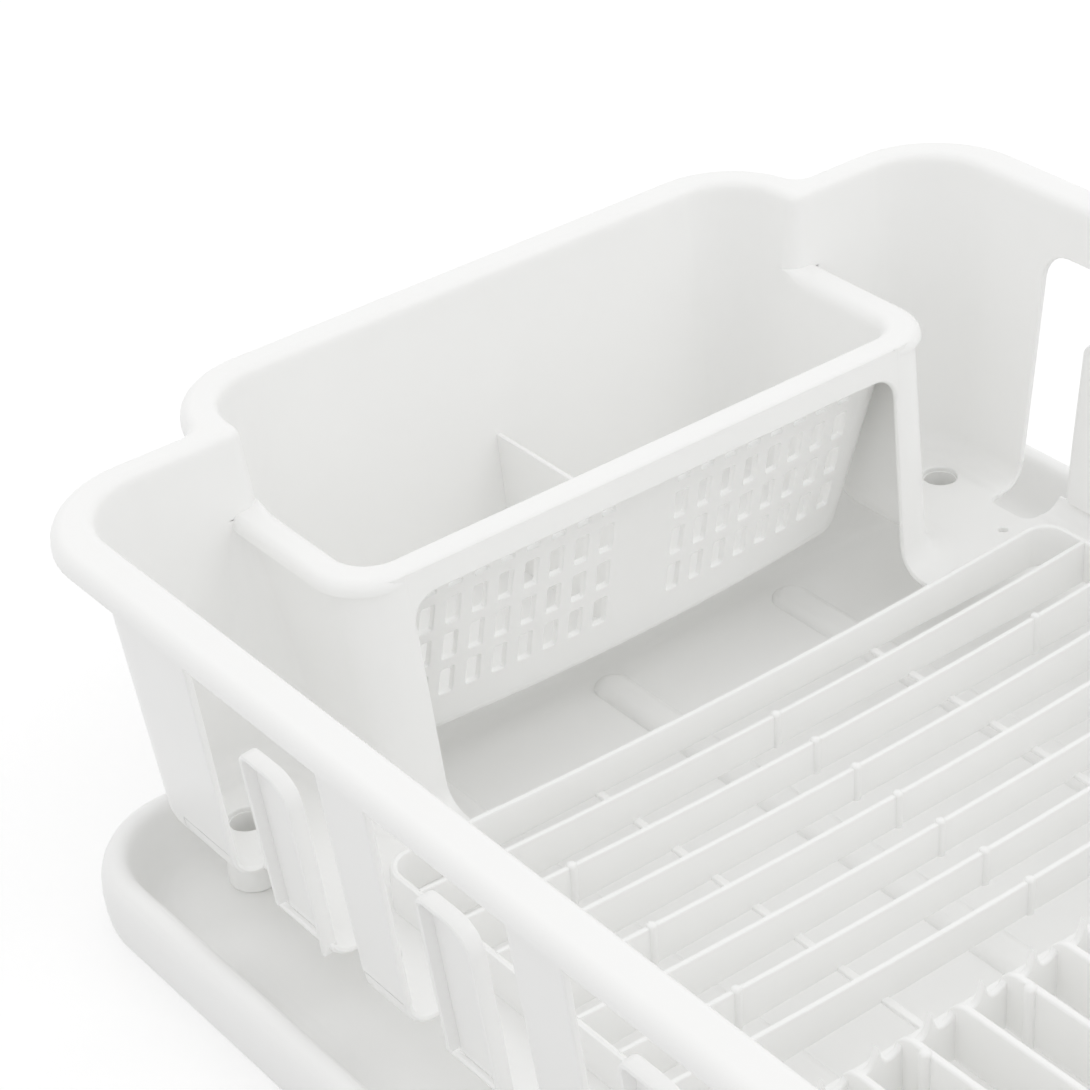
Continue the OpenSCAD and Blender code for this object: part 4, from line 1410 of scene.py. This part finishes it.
def floor_plate():
    side_edge = flat_wall(IN_Y, SIDE_SLOPE, Z_FLOOR_MID) - (BASE_R_MID + UNDER)
    end_edge = flat_wall(IN_X1, END_SLOPE, Z_FLOOR_MID) - (BASE_R_MID + UNDER)
    pts = [(SILL_X, PORTAL_LOW_Y)] + floor_edge()
    for m in SIDE_XS:
        pts += notch(m, side_edge, NOTCH_IN_Y, *NOTCH_A)
        pts += notch(m, side_edge, NOTCH_IN_Y, *NOTCH_B)
    pts += [foot_point(q, n, BASE_R_MID) for q, n in corner_row(Z_FLOOR_MID, 1)]
    inner_x = NOTCH_IN_Y - side_edge + end_edge
    for m in reversed(END_YS):
        for a, b in ((-NOTCH_A[1], -NOTCH_A[0]), (-NOTCH_B[1], -NOTCH_B[0])):
            cut = [(x, y) for y, x in reversed(notch(m, end_edge, inner_x, a, b))]
            if cut[-1][1] > 1:
                pts += cut
    pts += [(end_edge, -OVERLAP), (REAR_X, -OVERLAP)]
    pts += arc(REAR_X - LOOP_R, LOOP_Y - LOOP_R, LOOP_R, 0, 90, 8)
    pts += arc(SILL_X + LOOP_R, LOOP_Y - LOOP_R, LOOP_R, 90, 180, 8)
    holes = [arc(x, FOOT_Y, FOOT_HOLE_R, 0, 345, 23) for x in FOOT_XS] + [arc(*PIN_HOLE, 0, 330, 11)]
    part = plate([pts] + holes, WALL, WALL_EDGE, (0, 0, Z_FLOOR - HALF - PLATE_DOWN), (1, 0, 0), (0, 1, 0))
    return trim(part, (0, 0, 0), (0, -1, 0))


piece("floor", both(floor_plate()), "drainer",
      ("ledge_near", "ledge_far", "ledge_plain", "pocket_near", "pocket_far"))

# %% [markdown]
# ## Feet
# Four hollow feet hold the basket off the drainboard. They are cups that open upwards into the holes of the
# floor. A cylinder would need its inside cut out and its edge rounded afterwards, while one turned profile
# gives the wall, the bottom and the rounded edge at once.

# %% Feet
FOOT_LOW = 3.0
FOOT_TOP = Z_LOW + 0.5
FOOT_EDGE = 1.5


def foot(x, y):
    z0, z1, r = FOOT_LOW, FOOT_TOP, FOOT_R
    inner = r - WALL
    profile = [(0.0, z0 + WALL), (inner - 1, z0 + WALL), (inner, z0 + WALL + 1), (inner, z1), (r, z1),
               (r, z0 + FOOT_EDGE)]
    profile += quarter(FOOT_EDGE, z0 + FOOT_EDGE, r - FOOT_EDGE, 0, -90, 4)[1:] + [(0.0, z0)]
    return lathe(profile, x, y, 36)


feet = [foot(x, s * FOOT_Y) for x in FOOT_XS for s in (-1, 1)]
piece("feet", join(feet), "drainer", ("foot_bin_near", "foot_bin_far", "foot_plain_near", "foot_plain_far"))

# %% [markdown]
# ## Cup prongs
# A prong is an upright channel that opens outwards, on which a cup hangs: a web with a raised border round its
# sides and top. A border extruded from the web would have no rounded lip, so it is a thickened grid along one
# line, and the web is a plate inside it. Each prong leans with the wall it stands in.

# %% A prong
PRONG_W = 24.0
PRONG_D = 5.6
PRONG_LEFT_R = 3.6
PRONG_RIGHT_R = 8.0
PRONG_H = box("prong_far_1")[1][2] - Z_FLOOR
PRONG_WEB_T = 1.8
PRONG_WEB_R = 2.0
PRONG_EDGE = 0.5
PRONG_FLANGE_T = 2.2
LEFT_FOOT, RIGHT_FOOT, WEB_FOOT = 7.0, 1.0, 4.0


def prong(mid, foot_y, slope):
    """A prong that leans with the far wall. At the floor, its inner face is foot_y from the middle."""
    tilt = math.atan(slope)
    up = np.array([0.0, math.sin(tilt), math.cos(tilt)])
    out = np.array([0.0, math.cos(tilt), -math.sin(tilt)])
    base = np.array([mid, foot_y, Z_FLOOR])
    w = PRONG_W / 2 - PRONG_FLANGE_T / 2
    h = PRONG_H / up[2] - PRONG_FLANGE_T / 2
    path = [(-w, LEFT_FOOT), (-w, h * 0.5)]
    path += arc(-w + PRONG_LEFT_R, h - PRONG_LEFT_R, PRONG_LEFT_R, 180, 90, 8)
    path += arc(w - PRONG_RIGHT_R, h - PRONG_RIGHT_R, PRONG_RIGHT_R, 90, 0, 8)
    path += [(w, h * 0.5), (w, RIGHT_FOOT)]
    depths = (PRONG_FLANGE_T / 2, PRONG_D / 2, PRONG_D - PRONG_FLANGE_T / 2)
    grid = [[base + np.array([u, 0, 0]) + up * v + out * d for d in depths] for u, v in path]
    corners = [(-w, WEB_FOOT), (w, WEB_FOOT), (w, h), (-w, h)]
    loop = rounded(corners, [PRONG_WEB_R, PRONG_WEB_R, PRONG_RIGHT_R, PRONG_LEFT_R], 6)
    web = plate([loop], PRONG_WEB_T, PRONG_EDGE, base + out * (PRONG_WEB_T / 2), (1, 0, 0), up)
    return join([shell(grid, PRONG_FLANGE_T), web])


side_foot = flat_wall(IN_Y, SIDE_SLOPE, Z_FLOOR) + WALL - PRONG_D
end_foot = flat_wall(IN_X1, END_SLOPE, Z_FLOOR) + WALL - PRONG_D
print("prong feet", side_foot, end_foot, "height", PRONG_H)

# %% All the prongs


def prong_at_end(part, x, y):
    """Turns a far prong made at mid 0 to face the plain end, and puts it at (x, y)."""
    v, f = part
    return np.stack([v[:, 1] + x, -v[:, 0] + y, v[:, 2]], axis=1), f


for i, mid in enumerate(SIDE_XS):
    far = prong(mid, side_foot, SIDE_SLOPE)
    piece(f"prong.far.{i + 1}", far, "drainer", (f"prong_far_{i + 1}",))
    piece(f"prong.near.{i + 1}", mirror(far), "drainer", (f"prong_near_{i + 1}",))
for i, mid in enumerate(END_YS):
    made = prong_at_end(prong(0.0, 0.0, END_SLOPE), end_foot, mid)
    piece(f"prong.end.{i + 1}", made, "drainer", (f"prong_end_{i + 1}",))

# %% [markdown]
# ## Drainboard
# The drainboard catches the water: a convex skirt from the table, a rolled rim, and a coved inner wall. At the
# plain end the section sinks to the floor's height, which makes the drain lip. One loft round the tray holds
# all of it, because each section can sink by its own share. Its under side sinks to the floor's own under
# side, or the lip would have no thickness.

# %% The tray's section and path
TRAY_X0 = box("tray_rim")[0][0]
TRAY_X1 = box("tray_rim")[1][0]
TRAY_Y = box("tray_rim")[1][1]
TRAY_R = 36.0
TRAY_FLOOR = 3.0
LIP_HALF = 150.0
LIP_BLEND = 26.0
LIP_MID = 60.0


def tray_section():
    """(distance in from the outer edge, height) round the rim, clockwise from the table."""
    over = [(1.6, 0.0), (0.9, 2.0), (0.3, 6.0), (0.0, 11.0), (0.3, 15.0), (1.1, 18.2), (2.4, 20.3),
            (4.2, 21.3), (5.6, 21.5), (7.2, 21.3), (8.6, 20.4), (9.5, 18.8), (10.3, 16.5), (12.4, 10.8),
            (13.9, 7.6), (15.8, 5.2), (18.2, 3.7), (21.0, 3.1), (24.0, 3.0)]
    under = [(24.0, 0.6), (20.8, 0.7), (17.0, 1.6), (13.8, 3.6), (11.8, 6.4), (10.2, 10.0), (8.4, 15.6),
             (7.4, 18.4), (5.8, 19.1), (4.0, 18.4), (2.9, 15.0), (2.6, 11.0), (2.9, 6.0), (3.4, 2.0),
             (4.0, 0.0)]
    return over, under


def tray_path():
    pts = [(np.array([TRAY_X0, 0.0]), np.array([-1.0, 0.0]))]
    corners = [(TRAY_X0 + TRAY_R, TRAY_Y - TRAY_R, 180, 90), (TRAY_X1 - TRAY_R, TRAY_Y - TRAY_R, 90, 0)]
    for cx, cy, a0, a1 in corners:
        for a in np.linspace(a0, a1, 19):
            pts.append((np.array([cx, cy]) + TRAY_R * unit(a), unit(a)))
    end_ys = list(np.linspace(LIP_HALF, LIP_HALF - LIP_BLEND, 9)) + [LIP_MID, 0.0]
    half = pts[:-1] + [(np.array([TRAY_X1, y]), np.array([1.0, 0.0])) for y in end_ys]
    return half + [(q * ACROSS, n * ACROSS) for q, n in reversed(half[1:-1])]


def lip_drop(q):
    """How far the rim has sunk at this place: 0 is full height and 1 is the lip."""
    if q[0] < TRAY_X1 - 2:
        return 0.0
    t = min(max((LIP_HALF - abs(q[1])) / LIP_BLEND, 0.0), 1.0)
    return t * t * (3 - 2 * t)


print("tray's path has", len(tray_path()), "stations")

# %% The tray


def tray_ring():
    over, under = tray_section()
    rings = []
    for q, n in tray_path():
        drop = lip_drop(q)
        row = []
        for k, (a, z) in enumerate(over + under):
            flat = TRAY_FLOOR if k < len(over) else TRAY_FLOOR - WALL
            low = z if z <= flat else flat + (z - flat) * (1 - drop)
            row.append((q[0] - n[0] * a, q[1] - n[1] * a, low))
        rings.append(row)
    k = len(over)
    top, low = np.array([r[k - 1] for r in rings]), np.array([r[k] for r in rings])
    return join([loft(rings, closed_path=True, closed_section=True), two_sheets(top, low)])


piece("tray", tray_ring(), "drainboard", ("tray_pan", "tray_rim", "drain_lip"))

# %% [markdown]
# Three low ribs stiffen the drainboard and keep the wet basket off its floor. A rib is a stack of rounded
# outlines that draw in towards the top.

# %% The tray's ribs
RIB_HALF = 7.0
RIB_H = 3.2
RIB_YS = (-79.0, 0.0, 79.0)
RIB_INSET = 27.0
RIB_LIP_GAP = 20.0


def tray_ribs():
    parts = []
    x0, x1 = TRAY_X0 + RIB_INSET + RIB_HALF, TRAY_X1 - RIB_LIP_GAP - RIB_INSET - RIB_HALF
    for y in RIB_YS:
        rings = []
        for inward, z in ((0.0, -0.4), (0.2, 0.5), (1.0, 1.6), (2.4, 2.6), (4.2, RIB_H)):
            r = RIB_HALF - inward
            ends = arc(x0, y, r, 90, 270, 12) + arc(x1, y, r, -90, 90, 12)
            rings.append([(x, yy, TRAY_FLOOR + z) for x, yy in ends])
        verts, faces = loft(rings, closed_section=True)
        n = len(rings[0])
        faces.append([(len(rings) - 1) * n + j for j in range(n)])
        parts.append((verts, faces))
    return join(parts)


piece("tray.ribs", tray_ribs(), "drainboard", ("tray_ribs",))
print("pieces:", len(PIECES))

# %% [markdown]
# ## Finish
# The rack and the tray are both injection-moulded polypropylene, a slightly waxy white plastic. Light goes a
# little way into it, so the edges of shadows stay soft, and its skin copies the fine grain of the steel mould.

# %% Colour and node helpers


def linear(hex_colour):
    """An sRGB hex colour as the linear RGBA that a shader takes."""
    out = []
    for k in (1, 3, 5):
        c = int(hex_colour[k:k + 2], 16) / 255
        out.append(c / 12.92 if c <= 0.04045 else ((c + 0.055) / 1.055) ** 2.4)
    return (*out, 1.0)


def add(tree, kind, settings=None, links=None):
    """One node, with its settings by socket name or property, and its links as {input: output socket}."""
    made = tree.nodes.new(kind)
    for key, value in (settings or {}).items():
        if isinstance(key, int) or key in made.inputs:
            made.inputs[key].default_value = value
        else:
            setattr(made, key, value)
    for key, source in (links or {}).items():
        tree.links.new(source, made.inputs[key])
    return made


print("mid grey is", round(linear("#808080")[0], 3), "to a shader")

# %% [markdown]
# Three sizes of detail make the plastic. A swell of about 60 mm, as thick parts sink on cooling, moves the
# highlights a little. The mould's grain is 0.5 mm, drawn coarser than the real 0.1 mm so that it shows. Faint
# flow patches of about 25 mm vary the gloss. A texture image could hold all this, but noise in object space
# needs no unwrapping and keeps its true scale on every piece.

# %% Moulded polypropylene
SWELL_MM = 60.0
GRAIN_MM = 0.5
FLOW_MM = 25.0
SWELL_DEEP_M = 0.0004
GRAIN_DEEP_M = 0.00003
LIGHT_DEEP_M = 0.002
LIGHT_IN = 0.06
POLYPROPYLENE_IOR = 1.49
SWELL_STRENGTH = 0.25
GRAIN_STRENGTH = 0.12
GLOSSIER = 0.04
DULLER = 0.05


def moulded_polypropylene(name, colour, shade, rough):
    """Gives the eye a soft, slightly waxy white with broad highlights that waver a little."""
    mat = bpy.data.materials.new(name)
    mat.use_nodes = True
    tree = mat.node_tree
    tree.nodes.clear()
    place = add(tree, "ShaderNodeTexCoord").outputs["Object"]
    swell, grain, flow = [
        add(tree, "ShaderNodeTexNoise", {"Scale": 1000 / size, "Detail": octaves},
            {"Vector": place}).outputs["Fac"]
        for size, octaves in ((SWELL_MM, 1.0), (GRAIN_MM, 2.0), (FLOW_MM, 3.0))]
    tint = add(tree, "ShaderNodeMix", {"data_type": "RGBA", 6: linear(colour), 7: linear(shade)}, {0: flow})
    gloss = add(tree, "ShaderNodeMapRange", {"From Min": 0.3, "From Max": 0.7, "To Min": rough - GLOSSIER,
                                             "To Max": rough + DULLER}, {"Value": flow})
    low = add(tree, "ShaderNodeBump", {"Strength": SWELL_STRENGTH, "Distance": SWELL_DEEP_M},
              {"Height": swell})
    fine = add(tree, "ShaderNodeBump", {"Strength": GRAIN_STRENGTH, "Distance": GRAIN_DEEP_M},
               {"Height": grain, "Normal": low.outputs["Normal"]})
    skin = add(tree, "ShaderNodeBsdfPrincipled",
               {"IOR": POLYPROPYLENE_IOR, "Subsurface Weight": LIGHT_IN,
                "Subsurface Radius": (1.0, 0.98, 0.95), "Subsurface Scale": LIGHT_DEEP_M},
               {"Base Color": tint.outputs[2], "Roughness": gloss.outputs["Result"],
                "Normal": fine.outputs["Normal"]})
    add(tree, "ShaderNodeOutputMaterial", None, {"Surface": skin.outputs["BSDF"]})
    return mat


# Clean and bright, with a soft sheen along the rims.
rack_polypropylene = moulded_polypropylene("white moulded polypropylene", "#F9F9F8", "#F7F7F6", 0.32)
# The same white, a shade duller, so that the basket stands out from the tray.
tray_polypropylene = moulded_polypropylene("white tray polypropylene", "#F8F8F7", "#F6F6F5", 0.36)
for made in PIECES:
    made_of = tray_polypropylene if made.name.startswith("tray") else rack_polypropylene
    made.data.materials.clear()
    made.data.materials.append(made_of)
print("materials:", rack_polypropylene.name, "and", tray_polypropylene.name)

# %% [markdown]
# ## Stage
# The floor is pale paper. To the camera, in reflections and through clear things it also glows a little, so
# that it shows white and still keeps the shadow, while the light that it gives the rack is that of plain
# paper.

# %% Floor
FLOOR_SIZE = 6.0
FLOOR_GLOW = 0.36


def seen_by(tree, first, *others):
    """1 for rays of these kinds and 0 for all others, such as the rays that light things."""
    rays = add(tree, "ShaderNodeLightPath").outputs
    seen = rays[first]
    for kind in others:
        seen = add(tree, "ShaderNodeMath", {"operation": "MAXIMUM"}, {0: seen, 1: rays[kind]}).outputs[0]
    return seen


def seamless_paper():
    """Gives the eye a matt white ground on which the rack's soft shadow still shows."""
    mat = bpy.data.materials.new("seamless paper")
    mat.use_nodes = True
    tree = mat.node_tree
    tree.nodes.clear()
    seen = seen_by(tree, "Is Camera Ray", "Is Glossy Ray", "Is Transmission Ray")
    level = add(tree, "ShaderNodeMath", {"operation": "MULTIPLY", 1: FLOOR_GLOW}, {0: seen})
    paper = add(tree, "ShaderNodeBsdfDiffuse", {"Color": linear("#DADADA")})
    glow = add(tree, "ShaderNodeEmission", {"Color": (1, 1, 1, 1)}, {"Strength": level.outputs[0]})
    sum_of = add(tree, "ShaderNodeAddShader", None, {0: paper.outputs[0], 1: glow.outputs[0]})
    add(tree, "ShaderNodeOutputMaterial", None, {"Surface": sum_of.outputs[0]})
    return mat


def studio_floor():
    mesh = bpy.data.meshes.new("studio floor")
    s = FLOOR_SIZE / 2
    mesh.from_pydata([(-s, -s, 0), (s, -s, 0), (s, s, 0), (-s, s, 0)], [], [(0, 1, 2, 3)])
    mesh.materials.append(seamless_paper())
    return put("studio floor", mesh)


studio_floor()
print("floor", FLOOR_SIZE, "m wide")

# %% [markdown]
# Most of the light is an even sky, because white plastic needs broad light to keep its shape. A weak softbox
# high at the back gives it a direction, and a weaker one at the left lifts the shade. Light in the bin meets
# many white walls in turn, so more bounces are followed than Blender's default, which leaves the bin darker.

# %% Sky and lamps
SKY_LEVEL = 0.94
BOUNCES = 12
AIM = (0, 0, 0.05)


def sky():
    world = bpy.data.worlds.new("studio")
    world.use_nodes = True
    tree = world.node_tree
    tree.nodes.clear()
    seen = seen_by(tree, "Is Camera Ray", "Is Transmission Ray")
    level = add(tree, "ShaderNodeMix", {"data_type": "FLOAT", 2: SKY_LEVEL, 3: 1.0}, {0: seen})
    glow = add(tree, "ShaderNodeBackground", {"Color": (1, 1, 1, 1)}, {"Strength": level.outputs[0]})
    add(tree, "ShaderNodeOutputWorld", None, {"Surface": glow.outputs[0]})
    bpy.context.scene.world = world


def softbox(name, place, side, watts):
    """A square lamp, side metres wide, that looks at the middle of the rack."""
    data = bpy.data.lights.new(name, "AREA")
    data.shape = "RECTANGLE"
    data.size = data.size_y = side
    data.energy = watts
    made = put(name, data)
    made.location = place
    made.rotation_euler = (Vector(AIM) - Vector(place)).to_track_quat("-Z", "Y").to_euler()


sky()
softbox("key softbox", (0.9, 1.3, 1.9), 1.4, 4.0)
softbox("left softbox", (-1.6, 0.1, 1.5), 1.0, 0.6)
bpy.context.scene.cycles.max_bounces = BOUNCES
bpy.context.scene.cycles.diffuse_bounces = BOUNCES
print("sky", SKY_LEVEL, "bounces", BOUNCES)

# %% [markdown]
# ## Camera
# A long lens looks down on the rack from beyond its plate end, turned a little about its own axis. A
# constraint could aim it, but the roll is easier to keep in the camera's matrix.

# %% Camera
CAM_PLACE = (470.3, -508.9, 597.8)
CAM_AZ, CAM_EL, CAM_ROLL = math.radians(53.998), math.radians(32.623), math.radians(3.735)
CAM_LENS = 101.79
SENSOR_MM = 36.0


def camera():
    data = bpy.data.cameras.new("camera")
    data.lens, data.sensor_width, data.sensor_fit = CAM_LENS, SENSOR_MM, "HORIZONTAL"
    data.clip_start, data.clip_end = 0.01, 50.0
    ahead = Vector((-math.sin(CAM_AZ) * math.cos(CAM_EL), math.cos(CAM_AZ) * math.cos(CAM_EL),
                    -math.sin(CAM_EL)))
    right = ahead.cross(Vector((0, 0, 1))).normalized()
    down = ahead.cross(right)
    turned_right = right * math.cos(CAM_ROLL) + down * math.sin(CAM_ROLL)
    turned_down = down * math.cos(CAM_ROLL) - right * math.sin(CAM_ROLL)
    turn = Matrix((turned_right, -turned_down, -ahead)).transposed()
    made = put("camera", data)
    made.matrix_world = Matrix.Translation(Vector(CAM_PLACE) * MM) @ turn.to_4x4()
    return made


bpy.context.scene.camera = camera()
bpy.context.scene.view_settings.view_transform = "Standard"
print("camera at", CAM_PLACE)
